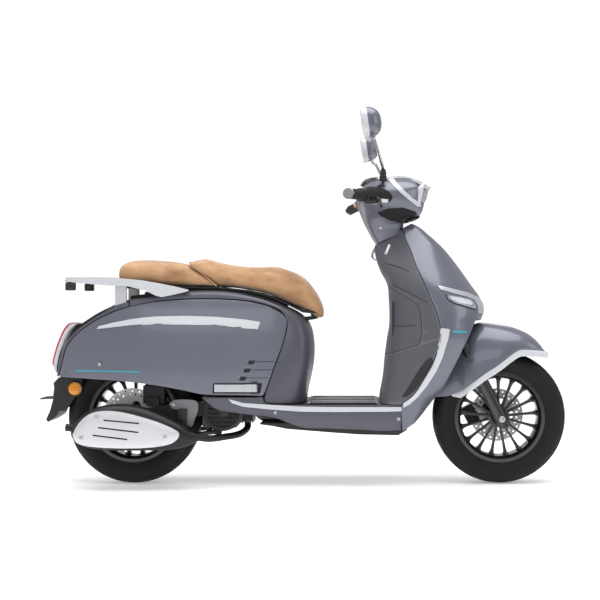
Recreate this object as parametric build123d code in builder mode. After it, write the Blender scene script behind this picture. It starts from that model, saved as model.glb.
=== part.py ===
from build123d import *
import math
import os

os.makedirs("parts", exist_ok=True)

# Moped scooter, in millimetres. It faces +X, its left side is +Y, +Z is up and the tyres stand on Z = 0.

# ---- driving dimensions ----
WHEEL_R = 236.4                 # 120/70-12 tyre
TYRE_HALF_W = 60.0
RIM_R = 152.0
REAR_AXLE = (-602.0, 0.0, WHEEL_R)
SPOKES = 17
AXLE_R = 8.0
RUN_GAP = 0.05                  # radial clearance of a shaft in its hole
RAKE = math.radians(27)
STEER_ORIGIN = (321.0, 0.0, 887.0)
FORK_OFFSET = 41.0              # axle line ahead of the steering axis
FORK_HALF_W = 88.0
AXLE_DROP = (STEER_ORIGIN[2] - WHEEL_R + FORK_OFFSET * math.sin(RAKE)) / math.cos(RAKE)
FRONT_AXLE = (
    STEER_ORIGIN[0] + AXLE_DROP * math.sin(RAKE) + FORK_OFFSET * math.cos(RAKE), 0.0, WHEEL_R,
)
WALL = 3.0                      # plastic panels
SEAM = 1.0                      # gap between neighbouring panels
PIVOT = (-215.0, 335.0)         # engine pivot, X and Z
BODY_TUBE_R = 14.0
FLOOR_Z = 290.0
FLOOR_HALF_W = 165.0
RACK_BOLT_R = 3.3             # M6 holes of the rack

# Steering frame: local Z runs up the steering axis, local X forwards, local Y to the left
STEER = Plane(
    origin=STEER_ORIGIN,
    x_dir=(math.cos(RAKE), 0, math.sin(RAKE)),
    z_dir=(-math.sin(RAKE), 0, math.cos(RAKE)),
)


# ---- helpers: each adds to the part being built ----
def rod(start, end, radius, mode=Mode.ADD):
    """Round bar from start to end."""
    run = Vector(*end) - Vector(*start)
    with Locations(Plane(origin=start, z_dir=run)):
        Cylinder(radius, run.length, align=(Align.CENTER, Align.CENTER, Align.MIN), mode=mode)


def bent_bar(points, radius, bend=1.6):
    """Round bar with smooth bends; each bend's radius is given in bar radii."""
    with BuildLine() as route:
        FilletPolyline(*points, radius=radius * bend)
    with BuildSketch(Plane(origin=route.line @ 0, z_dir=route.line % 0)) as section:
        Circle(radius)
    sweep(section.sketch, path=route.line)


def side_block(points, y_low, y_high, mode=Mode.ADD):
    """Block whose outline lies in the XZ plane, between two widths."""
    with BuildSketch(Plane.XZ.offset(-y_high)) as outline:
        with BuildLine():
            Polyline(*points, close=True)
        make_face()
    extrude(outline.sketch, amount=y_high - y_low, mode=mode)


def block(x_low, x_high, y_low, y_high, z_low, z_high, mode=Mode.ADD):
    """Box given by its limits."""
    with Locations(((x_low + x_high) / 2, (y_low + y_high) / 2, (z_low + z_high) / 2)):
        Box(x_high - x_low, y_high - y_low, z_high - z_low, mode=mode)


def wheel_plane(axle):
    """Plane of a wheel, with its normal along the axle."""
    return Plane(origin=axle, x_dir=(1, 0, 0), z_dir=(0, -1, 0))


def spin(axle, points):
    """Turn a closed outline of (width, radius) points about the axle."""
    with BuildSketch(Plane(origin=axle, x_dir=(0, 1, 0), z_dir=(0, 0, 1))) as section:
        with BuildLine():
            Polyline(*points, close=True)
        make_face()
    revolve(section.sketch, axis=Axis(axle, (0, 1, 0)))


def tyre(axle):
    """Tyre with a flat crown, round shoulders and an open inside."""
    bead_y = 44.0
    bead_r = RIM_R + 0.4
    with BuildPart() as body:
        with BuildSketch(Plane(origin=axle, x_dir=(0, 1, 0), z_dir=(0, 0, 1))) as section:
            with BuildLine():
                Line((-bead_y, bead_r), (-bead_y, bead_r + 9))
                ThreePointArc((-bead_y, bead_r + 9), (-TYRE_HALF_W, 195), (-50, 222))
                ThreePointArc((-50, 222), (-38, 232), (-22, WHEEL_R))
                Line((-22, WHEEL_R), (22, WHEEL_R))
                ThreePointArc((22, WHEEL_R), (38, 232), (50, 222))
                ThreePointArc((50, 222), (TYRE_HALF_W, 195), (bead_y, bead_r + 9))
                Line((bead_y, bead_r + 9), (bead_y, bead_r))
                Line((bead_y, bead_r), (36, bead_r))
                Line((36, bead_r), (52, 190))
                ThreePointArc((52, 190), (0, 228), (-52, 190))
                Line((-52, 190), (-36, bead_r))
                Line((-36, bead_r), (-bead_y, bead_r))
            make_face()
        revolve(axis=Axis(axle, (0, 1, 0)))
    return body.part


def rim(axle, hub_left, hub_right, bore):
    """Cast wheel: barrel, spokes and hub; a bore of 0 leaves the hub solid."""
    barrel = [
        (-47, 148), (-47, 160), (-44.3, 160), (-44.3, RIM_R), (44.3, RIM_R), (44.3, 160),
        (47, 160), (47, 148), (30, 138), (-30, 138),
    ]
    with BuildPart(wheel_plane(axle)) as body:
        spin(axle, barrel)
        with PolarLocations(84, SPOKES):
            Box(112, 9, 20)
        rod((0, 0, -hub_left), (0, 0, hub_right), 32)
        if bore > 0:
            rod((0, 0, -hub_left), (0, 0, hub_right), bore, mode=Mode.SUBTRACT)
    return body.part


def disc(axle, side_y, outer_r, bore_r):
    """Drilled brake disc with five windows, centred on a plane across the axle."""
    with BuildPart(wheel_plane(axle).offset(-side_y)) as body:
        Cylinder(outer_r, 4)
        with PolarLocations(outer_r - 10, 24):
            Cylinder(3.5, 4, mode=Mode.SUBTRACT)
        with PolarLocations(outer_r - 22, 24, start_angle=7.5):
            Cylinder(3.5, 4, mode=Mode.SUBTRACT)
        with PolarLocations(46, 5):
            Cylinder(15, 4, mode=Mode.SUBTRACT)
        Cylinder(bore_r, 4, mode=Mode.SUBTRACT)
    return body.part


# ---- wheels ----
with BuildPart() as front_tyre:
    add(tyre(FRONT_AXLE))
front_tyre.part.label = "front_tyre"
export_step(front_tyre.part, "parts/front_tyre.step")

with BuildPart() as rear_tyre:
    add(tyre(REAR_AXLE))
rear_tyre.part.label = "rear_tyre"
export_step(rear_tyre.part, "parts/rear_tyre.step")

with BuildPart() as front_rim:
    add(rim(FRONT_AXLE, 47.8, 45, AXLE_R + RUN_GAP))
front_rim.part.label = "front_rim"
export_step(front_rim.part, "parts/front_rim.step")

REAR_SHAFT_R = 11.0
with BuildPart() as rear_rim:
    add(rim(REAR_AXLE, 60, 63.8, 0))
    rod((REAR_AXLE[0], 112, WHEEL_R), (REAR_AXLE[0], -118, WHEEL_R), REAR_SHAFT_R)
    rod((REAR_AXLE[0], -112, WHEEL_R), (REAR_AXLE[0], -122, WHEEL_R), 18)
rear_rim.part.label = "rear_rim"
export_step(rear_rim.part, "parts/rear_rim.step")

with BuildPart() as front_disc:
    add(disc(FRONT_AXLE, 50, 95, 24))
front_disc.part.label = "front_disc"
export_step(front_disc.part, "parts/front_disc.step")

with BuildPart() as rear_disc:
    add(disc(REAR_AXLE, -66, 105, 24))
rear_disc.part.label = "rear_disc"
export_step(rear_disc.part, "parts/rear_disc.step")


# ---- fork and front axle ----
YOKE_T = -411.0                 # underside of the yoke, along the steering axis
STEM_R = 13.0
STANCHION_R = 16.0
SLIDER_R = 21.0

with BuildPart(STEER) as fork_upper:
    with BuildSketch(STEER.offset(YOKE_T)) as yoke:
        Circle(30)
        with Locations((FORK_OFFSET, FORK_HALF_W), (FORK_OFFSET, -FORK_HALF_W)):
            Circle(24)
        make_hull()
    extrude(yoke.sketch, amount=35)
    rod((0, 0, YOKE_T + 30), (0, 0, 40), STEM_R)
    for side in (-1, 1):
        rod((FORK_OFFSET, side * FORK_HALF_W, -660), (FORK_OFFSET, side * FORK_HALF_W, YOKE_T), STANCHION_R)
fork_upper.part.label = "fork_upper"
export_step(fork_upper.part, "parts/fork_upper.step")

with BuildPart(STEER) as fork_sliders:
    for side in (-1, 1):
        leg_y = side * FORK_HALF_W
        rod((FORK_OFFSET, leg_y, -785), (FORK_OFFSET, leg_y, -520), SLIDER_R)
        rod((FORK_OFFSET, leg_y, -535), (FORK_OFFSET, leg_y, -518), SLIDER_R + 3)
        rod((FORK_OFFSET, leg_y, -720),
            (FORK_OFFSET, leg_y, -510), STANCHION_R + RUN_GAP, mode=Mode.SUBTRACT)
    rod((FORK_OFFSET, 113, -AXLE_DROP), (FORK_OFFSET, -113, -AXLE_DROP), AXLE_R)
    rod((FORK_OFFSET, -109, -AXLE_DROP), (FORK_OFFSET, -114, -AXLE_DROP), 12)
    rod((FORK_OFFSET, 109, -AXLE_DROP), (FORK_OFFSET, 114, -AXLE_DROP), 12)
    rod((FORK_OFFSET, 60, -AXLE_DROP), (FORK_OFFSET, 68, -AXLE_DROP), 14)
    rod((FORK_OFFSET, -50, -AXLE_DROP), (FORK_OFFSET, -68, -AXLE_DROP), 14)
    with Locations((-11, 76, -705)):
        Box(66, 12, 50)
fork_sliders.part.label = "fork_sliders"
export_step(fork_sliders.part, "parts/fork_sliders.step")

with BuildPart(STEER) as front_caliper:
    with Locations((-44, 52, -705)):
        Box(44, 34, 66)
    with Locations(Location((FORK_OFFSET, 50, -AXLE_DROP), (90, 0, 0))):
        Cylinder(98, 7, mode=Mode.SUBTRACT)
front_caliper.part.label = "front_caliper"
export_step(front_caliper.part, "parts/front_caliper.step")

# ---- front fender, narrow behind the tyre and wide over the fork legs ----
FENDER_TOP = [
    (870, 455), (850, 485), (830, 510), (800, 532), (750, 553), (700, 563), (630, 570), (569, 543),
    (489, 488), (462, 420), (438, 350), (432, 312),
]
FENDER_EDGE = [
    (500, 312), (548, 318), (600, 330), (650, 368), (700, 405), (758, 450), (775, 455),
]
FENDER_PLAN = [
    (432, 74), (510, 74), (555, 88), (590, 118), (690, 120), (760, 98), (830, 72), (870, 48),
]
FENDER_CROWN = [(-121, 290), (121, 290), (121, 500), (94, 556), (58, 580), (-58, 580), (-94, 556), (-121, 500)]


def plan_block(points, z_low, z_high, mode=Mode.ADD):
    """Block whose plan is symmetric: (X, half width) points from the rear to the front."""
    with BuildSketch(Plane.XY.offset(z_low)) as outline:
        with BuildLine():
            Polyline(*points, *[(x, -half) for x, half in reversed(points)], close=True)
        make_face()
    extrude(outline.sketch, amount=z_high - z_low, mode=mode)


def cross_block(points, x_low, x_high, mode=Mode.ADD):
    """Block whose outline lies across the vehicle, in (Y, Z)."""
    with BuildSketch(Plane.YZ.offset(x_low)) as outline:
        with BuildLine():
            Polyline(*points, close=True)
        make_face()
    extrude(outline.sketch, amount=x_high - x_low, mode=mode)


def inset_plan(points, amount):
    """The same plan, narrower by the wall and shorter at both ends."""
    inner = [(x, half - amount) for x, half in points]
    inner[0] = (points[0][0] + amount, inner[0][1])
    inner[-1] = (points[-1][0] - amount, inner[-1][1])
    return inner


with BuildPart() as front_fender:
    side_block(FENDER_TOP + FENDER_EDGE, -130, 130)
    plan_block(FENDER_PLAN, 300, 600, mode=Mode.INTERSECT)
    cross_block(FENDER_CROWN, 420, 880, mode=Mode.INTERSECT)
    with BuildPart(mode=Mode.PRIVATE) as fender_core:
        side_block([(x - 2, z - WALL) for x, z in FENDER_TOP[:8]] + [(572, 539), (493, 485),
            (466, 419), (442, 349), (436, 290), (900, 290)], -130, 130)
        plan_block(inset_plan(FENDER_PLAN, WALL), 280, 610, mode=Mode.INTERSECT)
        cross_block([(y * 0.975, z - 4) for y, z in FENDER_CROWN], 420, 880, mode=Mode.INTERSECT)
    add(fender_core.part, mode=Mode.SUBTRACT)
    for side in (-1, 1):
        leg_top = (STEER * Location((FORK_OFFSET, side * FORK_HALF_W, -380))).position
        leg_low = (STEER * Location((FORK_OFFSET, side * FORK_HALF_W, -565))).position
        rod(leg_top, leg_low, 27, mode=Mode.SUBTRACT)
front_fender.part.label = "front_fender"
export_step(front_fender.part, "parts/front_fender.step")

# ---- frame: head tube, down tube, floor rails, rear rails and engine lugs ----
RAIL_HALF_W = 115.0
RAIL_Z = 245.0

with BuildPart() as frame:
    head_top = (STEER * Location((0, 0, -150))).position
    head_low = (STEER * Location((0, 0, -345))).position
    rod(head_top, head_low, 27)
    bent_bar([(425, 0, 640), (388, 0, 470), (362, 0, 330), (330, 0, RAIL_Z)], 18)
    block(314, 345, -RAIL_HALF_W - 16, RAIL_HALF_W + 16, RAIL_Z - 17, RAIL_Z + 17)
    for side in (-1, 1):
        rail_y = side * RAIL_HALF_W
        bent_bar(
            [
                (330, rail_y, RAIL_Z), (-150, rail_y, RAIL_Z), (-185, rail_y, 575),
                (-640, side * 112, 575), (-760, side * 80, 545),
            ],
            BODY_TUBE_R,
        )
        side_block(
            [(-168, 352), (-168, 318), (-205, 318), (-230, 328), (-230, 342), (-205, 352)],
            side * 56 - 3, side * 56 + 3,
        )
        # footpeg clevis and its pin
        rod((-162, side * 115, 349), (-162, side * 146, 349), 8)
        block(-172, -150, side * 148 - 5, side * 148 + 5, 329, 369)
        block(-172, -150, side * 159 - 10, side * 159 + 10, 329, 334)
        block(-172, -150, side * 159 - 10, side * 159 + 10, 364, 369)
        rod((-162, side * 163, 330), (-162, side * 163, 368), 5)
    rod((-163, -RAIL_HALF_W, 340), (-163, RAIL_HALF_W, 340), 12)
    rod((PIVOT[0], -59, PIVOT[1]), (PIVOT[0], 59, PIVOT[1]), AXLE_R)
    rod((-700, -96, 560), (-700, 96, 560), 10)
    # seat hinge tongue on a hoop at the front
    bent_bar(
        [(-181, -RAIL_HALF_W, 540), (-60, -RAIL_HALF_W, 540), (-60, RAIL_HALF_W, 540),
         (-181, RAIL_HALF_W, 540)], 9, 2.5,
    )
    side_block([(-66, 545), (-54, 545), (0, 578), (40, 584), (50, 588), (50, 596), (40, 598),
        (0, 592)], -12, 12)
    rod((44, -12, 592), (44, 12, 592), 4 + RUN_GAP, mode=Mode.SUBTRACT)
    # shock mount under the left rail
    block(-587, -563, 96, 102, 530, 575)
    block(-587, -563, 122, 128, 530, 575)
    rod((-575, 96, 540), (-575, 128, 540), 6)
    rod(head_top, head_low, 20, mode=Mode.SUBTRACT)
with BuildPart() as bearing_rings:
    for ring_t in (-152.0, -333.0):
        ring_low = (STEER * Location((0, 0, ring_t - 12))).position
        ring_top = (STEER * Location((0, 0, ring_t))).position
        rod(ring_low, ring_top, 20.5)
        rod(ring_low, ring_top, STEM_R + RUN_GAP, mode=Mode.SUBTRACT)
with BuildPart() as frame_done:
    add(frame.part)
    add(bearing_rings.part)
frame_done.part.label = "frame"
export_step(frame_done.part, "parts/frame.step")

# ---- leg shield: one envelope, cut into the outer apron and the rider's side ----
# rows: height, rear face X and half width, widest X and half width, nose X
SHIELD_ROWS = [
    (945, 224, 46, 338, 48, 385),
    (880, 240, 58, 362, 70, 455),
    (830, 252, 70, 380, 105, 507),
    (770, 271, 92, 400, 150, 553),
    (700, 303, 120, 430, 182, 604),
    (640, 305, 130, 455, 194, 637),
    (600, 308, 132, 470, 197, 645),
    (560, 307, 134, 478, 198, 643),
    (500, 297, 136, 474, 197, 628),
    (430, 290, 138, 450, 192, 602),
    (350, 278, 142, 403, 182, 560),
    (292, 271, 150, 362, 170, 505),
    (203, 271, 150, 345, 165.5, 440),
]
SHIELD_SPLIT = [
    (340, 950), (362, 880), (380, 830), (400, 770), (430, 700), (455, 640), (470, 600), (478, 560),
    (478, 520), (465, 470), (450, 430), (430, 395), (400, 345), (380, 320), (347, 292),
]
ARCH = [
    (720, 581), (634, 581), (582, 574), (552, 527), (524, 465), (500, 405), (478, 350), (455, 320),
    (440, 275), (420, 250), (395, 225), (370, 208), (350, 200), (350, 150), (720, 150),
]


def shield(skin):
    """Leg shield envelope, grown by skin (negative shrinks it)."""
    with BuildPart() as body:
        for z, rear_x, rear_w, wide_x, wide_w, nose_x in SHIELD_ROWS:
            with BuildSketch(Plane.XY.offset(z)) as level:
                with BuildLine():
                    rear = rear_x - skin
                    nose = nose_x + skin
                    flank_x = wide_x + (nose - wide_x) * 0.62
                    flank_w = (wide_w + skin) * 0.72
                    Line((rear, -rear_w - skin), (rear, rear_w + skin))
                    Line((rear, rear_w + skin), (wide_x, wide_w + skin))
                    Spline(
                        (wide_x, wide_w + skin), (flank_x, flank_w), (nose, 0),
                        (flank_x, -flank_w), (wide_x, -wide_w - skin),
                    )
                    Line((wide_x, -wide_w - skin), (rear, -rear_w - skin))
                make_face()
        loft(ruled=True)
    return body.part


def below_parting(drop):
    """Cut away everything above the plane where the leg shield meets the steering cover."""
    split(bisect_by=STEER.offset(-drop), keep=Keep.BOTTOM)


with BuildPart() as shield_shell:
    add(shield(0))
    add(shield(-WALL), mode=Mode.SUBTRACT)
    side_block(ARCH, -260, 260, mode=Mode.SUBTRACT)
    block(200, 347.5, -260, 260, 150, FLOOR_Z + 2, mode=Mode.SUBTRACT)
    below_parting(9)

with BuildPart() as front_apron:
    add(shield_shell.part)
    side_block(SHIELD_SPLIT + [(100, 292), (100, 950)], -260, 260, mode=Mode.SUBTRACT)
front_apron.part.label = "front_apron"
export_step(front_apron.part, "parts/front_apron.step")

DOOR = [(280, 712), (303, 700), (400, 640), (410, 600), (415, 540), (405, 500), (300, 465), (280, 458)]
DOOR_HINGE = (293.5, 460.5)
DOOR_PIN_R = 1.5

with BuildPart() as inner_leg_shield:
    add(shield_shell.part)
    side_block([(x - SEAM, z) for x, z in SHIELD_SPLIT] + [(346, 150), (800, 150),
        (800, 950)], -260, 260, mode=Mode.SUBTRACT)
    with BuildSketch(Plane.XZ.offset(-260)) as doorway:
        with BuildLine():
            Polyline(*DOOR, close=True)
        make_face()
        offset(amount=SEAM, kind=Kind.INTERSECTION)
    extrude(doorway.sketch, amount=520, mode=Mode.SUBTRACT)
    # hinge pin in its notch
    rod((DOOR_HINGE[0], -42, DOOR_HINGE[1]), (DOOR_HINGE[0], 42, DOOR_HINGE[1]), 4.4, mode=Mode.SUBTRACT)
    rod((DOOR_HINGE[0], -46, DOOR_HINGE[1]), (DOOR_HINGE[0], 46, DOOR_HINGE[1]), DOOR_PIN_R)
    # glovebox tub
    block(314, 366, -112, 112, 480, 650)
    block(300, 363, -109, 109, 483, 647, mode=Mode.SUBTRACT)
    # arms that carry the tub from the fixed sides
    for side in (-1, 1):
        block(363, 424, side * 102 - 2, side * 102 + 2, 510, 610)
        block(420, 424, side * 138 - 38, side * 138 + 38, 510, 610)
inner_leg_shield.part.label = "inner_leg_shield"
export_step(inner_leg_shield.part, "parts/inner_leg_shield.step")

with BuildPart() as glovebox_door:
    add(shield_shell.part)
    side_block(DOOR, -260, 260, mode=Mode.INTERSECT)
    rod((DOOR_HINGE[0], -41, DOOR_HINGE[1]), (DOOR_HINGE[0], 41, DOOR_HINGE[1]), 3.4)
    rod(
        (DOOR_HINGE[0], -42, DOOR_HINGE[1]), (DOOR_HINGE[0], 42, DOOR_HINGE[1]), DOOR_PIN_R + RUN_GAP,
        mode=Mode.SUBTRACT,
    )
glovebox_door.part.label = "glovebox_door"
export_step(glovebox_door.part, "parts/glovebox_door.step")

# ---- floor: board with skirts, mat and belly pan ----
SKIRT = [
    (345, FLOOR_Z), (345, 205), (300, 200), (0, 212), (-75, 240), (-150, 252), (-250, 265), (-300, 275),
    (-330, 300), (-345, 317), (-132, 317), (-132, FLOOR_Z),
]
with BuildPart() as floor_skirts:
    for side in (-1, 1):
        side_block(SKIRT, side * (FLOOR_HALF_W - WALL / 2) - WALL / 2,
            side * (FLOOR_HALF_W - WALL / 2) + WALL / 2)
    block(-110, 345, -FLOOR_HALF_W, FLOOR_HALF_W, FLOOR_Z - WALL, FLOOR_Z)
    block(300, 350, -30, 30, FLOOR_Z - 10, FLOOR_Z + 10, mode=Mode.SUBTRACT)
floor_skirts.part.label = "floor_skirts"
export_step(floor_skirts.part, "parts/floor_skirts.step")

MAT_REAR = 22.0
MAT_FRONT = 262.0
MAT_RIBS = 21
with BuildPart() as floor_mat:
    block(MAT_REAR, MAT_FRONT, -142, 142, FLOOR_Z + 0.2, FLOOR_Z + 4)
    rib_pitch = 276 / (MAT_RIBS - 1)
    for rib in range(MAT_RIBS):
        rib_y = -138 + rib * rib_pitch
        block(MAT_REAR + 4, MAT_FRONT - 4, rib_y - 3, rib_y + 3, FLOOR_Z + 4, FLOOR_Z + 7)
floor_mat.part.label = "floor_mat"
export_step(floor_mat.part, "parts/floor_mat.step")

BELLY = [(-145, 222), (-100, 216), (-50, 206), (0, 202), (100, 194), (200, 187), (335, 184),
    (365, 203), (365, 226), (-145, 226)]
with BuildPart() as belly_pan:
    side_block(BELLY, -146, 146)
    side_block(
        [(-150, 225), (-100, 219), (-50, 209), (0, 205), (100, 197), (200, 190), (333, 187),
         (362, 205), (362, 240), (-150, 240)],
        -143, 143, mode=Mode.SUBTRACT,
    )
belly_pan.part.label = "belly_pan"
export_step(belly_pan.part, "parts/belly_pan.step")

# ---- rear body: one envelope, cut into side covers, centre cover and tail ----
BODY_FRONT = [(12, 292), (20, 350), (35, 420), (39, 480), (35, 540), (15, 580), (-10, 598)]
BODY_TOP = [(-50, 625), (-100, 645), (-150, 661), (-250, 679), (-350, 685), (-500, 668), (-600, 657)]
BODY_TAIL = [(-650, 643), (-700, 613), (-750, 580), (-790, 550), (-830, 510), (-850, 470),
    (-860, 430), (-865, 385)]
BODY_UNDER = [(-600, 371), (-350, 327), (-132, 323), (-128, 292)]
BODY_PLAN = [
    (-866, 88), (-860, 97), (-780, 120), (-700, 138), (-600, 152), (-500, 161), (-400, 166), (-300, 167),
    (-200, 165), (-130, 160), (-60, 146), (-10, 122), (20, 96), (34, 74), (39, 60),
]
SIDE_COVER = [
    (-52, 580), (-75, 612), (-150, 641), (-225, 652), (-300, 655), (-400, 654), (-500, 647), (-600, 628),
    (-700, 590), (-790, 530), (-822, 490), (-845, 420), (-852, 384), (-700, 378), (-600, 371), (-350, 327),
    (-132, 323), (-115, 370), (-80, 465), (-55, 550),
]

with BuildPart() as body_shell:
    side_block(BODY_FRONT + BODY_TOP + BODY_TAIL + BODY_UNDER, -180, 180)
    plan_block(BODY_PLAN, 280, 720, mode=Mode.INTERSECT)
    with BuildPart(mode=Mode.PRIVATE) as body_core:
        side_block(
            [(x - WALL, z) for x, z in BODY_FRONT[:5]] + [(12, 577), (-14, 594), (-14, 740),
             (-652, 740), (-652, 639)]
            + [(x + 2, z - WALL) for x, z in BODY_TAIL[1:]] + [(-863, 270), (9, 270)],
            -180, 180,
        )
        plan_block(inset_plan(BODY_PLAN, WALL), 260, 760, mode=Mode.INTERSECT)
    add(body_core.part, mode=Mode.SUBTRACT)

with BuildPart() as side_zone:
    side_block(SIDE_COVER, -180, 180)
with BuildPart() as side_zone_wide:
    with BuildSketch(Plane.XZ.offset(-180)) as zone:
        with BuildLine():
            Polyline(*SIDE_COVER, close=True)
        make_face()
        offset(amount=SEAM, kind=Kind.INTERSECTION)
    extrude(amount=360)

with BuildPart() as side_covers:
    add(body_shell.part)
    add(side_zone.part, mode=Mode.INTERSECT)
    block(-866, -40, -60, 60, 280, 720, mode=Mode.SUBTRACT)
    for side in (-1, 1):
        # footpeg recess and three vents
        block(-306, -138, side * 160 - 30, side * 160 + 30, 300, 373, mode=Mode.SUBTRACT)
        for step in range(3):
            vent_x = -173 - 15 * step
            vent_z = 438 - 28 * step
            block(vent_x - 12, vent_x + 12, side * 165 - 20, side * 165 + 20, vent_z - 8,
                vent_z + 8, mode=Mode.SUBTRACT)
side_covers.part.label = "side_covers"
export_step(side_covers.part, "parts/side_covers.step")

with BuildPart() as centre_cover:
    add(body_shell.part)
    add(side_zone_wide.part, mode=Mode.SUBTRACT)
    block(-900, -600, -200, 200, 280, 760, mode=Mode.SUBTRACT)
    block(-900, -133, -200, 200, 280, 380, mode=Mode.SUBTRACT)
    block(-60, 60, -16, 16, 574, 640, mode=Mode.SUBTRACT)
centre_cover.part.label = "centre_cover"
export_step(centre_cover.part, "parts/centre_cover.step")

with BuildPart() as tail_cover:
    add(body_shell.part)
    add(side_zone_wide.part, mode=Mode.SUBTRACT)
    block(-600.5 - SEAM, 100, -200, 200, 280, 760, mode=Mode.SUBTRACT)
    for side in (-1, 1):
        block(-655, -590, side * 126 - 32, side * 126 + 32, 600, 700, mode=Mode.SUBTRACT)
tail_cover.part.label = "tail_cover"
export_step(tail_cover.part, "parts/tail_cover.step")

# tail lamp over the rear edge, and round reflectors on the mudguard sides
LAMP_FACE = [(-803, 566), (-826, 540), (-842, 505), (-856, 465), (-864, 430), (-868, 395)]
with BuildPart() as rear_lamps:
    side_block([(x - 2, z + 2) for x, z in LAMP_FACE] + [(x - 9, z + 5) for x,
        z in reversed(LAMP_FACE)], -78, 78)
    for side in (-1, 1):
        rod((-800, side * 72, 340), (-800, side * 80, 340), 27)
rear_lamps.part.label = "rear_lamps"
export_step(rear_lamps.part, "parts/rear_lamps.step")

GUARD_OUT = [(-862, 379), (-880, 360), (-876, 335), (-882, 300), (-893, 260), (-906, 232), (-900, 222)]
GUARD_IN = [(-872, 240), (-862, 262), (-860, 290), (-859, 320), (-852, 350), (-843, 379)]
with BuildPart() as rear_mudguard:
    side_block(GUARD_OUT + GUARD_IN, -71, 71)
    for side in (-1, 1):
        side_block(
            [(-778, 379), (-850, 379), (-862, 320), (-866, 262), (-835, 262), (-815, 292),
             (-800, 315), (-778, 345)],
            side * 69.5 - 1.5, side * 69.5 + 1.5,
        )
    # number plate bracket
    side_block([(-879, 345), (-884, 302), (-935, 300), (-935, 304), (-889, 306), (-884, 345)], -45, 45)
rear_mudguard.part.label = "rear_mudguard"
export_step(rear_mudguard.part, "parts/rear_mudguard.step")

# ---- grab rail and rack ----
RAIL_SIDE = [
    (-822, 718), (-815, 732), (-700, 733), (-625, 728), (-560, 722), (-500, 712), (-440, 700), (-392, 688),
    (-395, 683), (-440, 672), (-485, 663), (-505, 668), (-540, 685), (-600, 700), (-680, 704), (-775, 712),
]
with BuildPart() as grab_rail:
    for side in (-1, 1):
        side_block(RAIL_SIDE, side * 138 - 11, side * 138 + 11)
        block(-652, -612, side * 116 - 6, side * 116 + 6, 590, 710)
        block(-652, -612, side * 124 - 14, side * 124 + 14, 704, 712)
    block(-815, -662, -130, 130, 722, 732)
    block(-822, -780, -130, 130, 714, 732)
    for side in (-1, 1):
        for slot in (-1, 1):
            with Locations((-738 + slot * 26, side * 70, 727)):
                Box(14, 70, 12, mode=Mode.SUBTRACT)
    with Locations((-738, 0, 727)):
        with GridLocations(96, 60, 2, 2):
            Cylinder(RACK_BOLT_R, 30, mode=Mode.SUBTRACT)
grab_rail.part.label = "grab_rail"
export_step(grab_rail.part, "parts/grab_rail.step")

# ---- seat ----
SEAT_HINGE = (44.0, 592.0)
SEAT_UNDER = [(-622, 694), (-390, 694), (-300, 693), (-200, 682), (-150, 671), (-100, 655),
    (-50, 634), (0, 609), (26, 606), (52, 606)]
PAN_PLAN = [(-622, 96), (-520, 112), (-400, 112), (-250, 108), (-100, 96), (0, 78), (52, 56)]
with BuildPart() as seat_base:
    side_block(SEAT_UNDER + [(x, z + 7) for x, z in reversed(SEAT_UNDER)], -120, 120)
    plan_block(PAN_PLAN, 590, 720, mode=Mode.INTERSECT)
    for side in (-1, 1):
        side_block([(26, 611), (26, 600), (36, 586), (50, 586), (52, 596),
            (52, 611)], side * 18 - 4, side * 18 + 4)
    rod((44, -22, 592), (44, 22, 592), 4)
seat_base.part.label = "seat_base"
export_step(seat_base.part, "parts/seat_base.step")

SEAT_TOP = [
    (64, 650), (40, 692), (20, 718), (-30, 752), (-60, 763), (-100, 766), (-200, 764),
    (-300, 779), (-345, 793),
    (-385, 792), (-398, 777), (-450, 783), (-550, 790), (-600, 789), (-622, 783), (-632, 760),
]
CUSHION_PLAN = [(-632, 84), (-600, 108), (-520, 122), (-420, 124), (-330, 122), (-200, 118),
    (-100, 106), (-20, 90), (40, 70), (70, 48)]
with BuildPart() as seat_cushion:
    side_block(
        SEAT_TOP + [(-632, 703), (-622, 702), (-390, 702), (-300, 701), (-200, 690), (-150, 679),
            (-100, 663), (-50, 642),
        (0, 617), (26, 614), (54, 614), (54, 588), (62, 590), (68, 605), (70, 625)],
        -130, 130,
    )
    plan_block(CUSHION_PLAN, 580, 800, mode=Mode.INTERSECT)
seat_cushion.part.label = "seat_cushion"
export_step(seat_cushion.part, "parts/seat_cushion.step")

# ---- storage bucket and fuel tank under the seat ----
BUCKET = [(-384, 432), (-76, 432), (-72, 600), (-150, 645), (-300, 668), (-476, 668), (-476, 585),
    (-384, 560)]
BUCKET_IN = [(-381, 435), (-79, 435), (-75, 590), (-75, 700), (-473, 700), (-473, 588), (-381, 563)]
with BuildPart() as storage_bucket:
    side_block(BUCKET, -94, 94)
    side_block(BUCKET_IN, -91, 91, mode=Mode.SUBTRACT)
storage_bucket.part.label = "storage_bucket"
export_step(storage_bucket.part, "parts/storage_bucket.step")

with BuildPart() as fuel_tank:
    block(-636, -486, -92, 92, 545, 645)
    fillet(fuel_tank.edges().filter_by(Axis.Z), 18)
    fillet(fuel_tank.edges().group_by(Axis.Z)[0], 10)
    rod((-545, 0, 640), (-545, 0, 657), 22)
    rod((-545, 0, 648), (-545, 0, 657), 16, mode=Mode.SUBTRACT)
fuel_tank.part.label = "fuel_tank"
export_step(fuel_tank.part, "parts/fuel_tank.step")

with BuildPart() as fuel_cap:
    rod((-545, 0, 658), (-545, 0, 672), 28)
    rod((-545, 0, 650), (-545, 0, 658), 15.95)
    block(-570, -520, -4, 4, 672, 682)
fuel_cap.part.label = "fuel_cap"
export_step(fuel_cap.part, "parts/fuel_cap.step")

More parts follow.
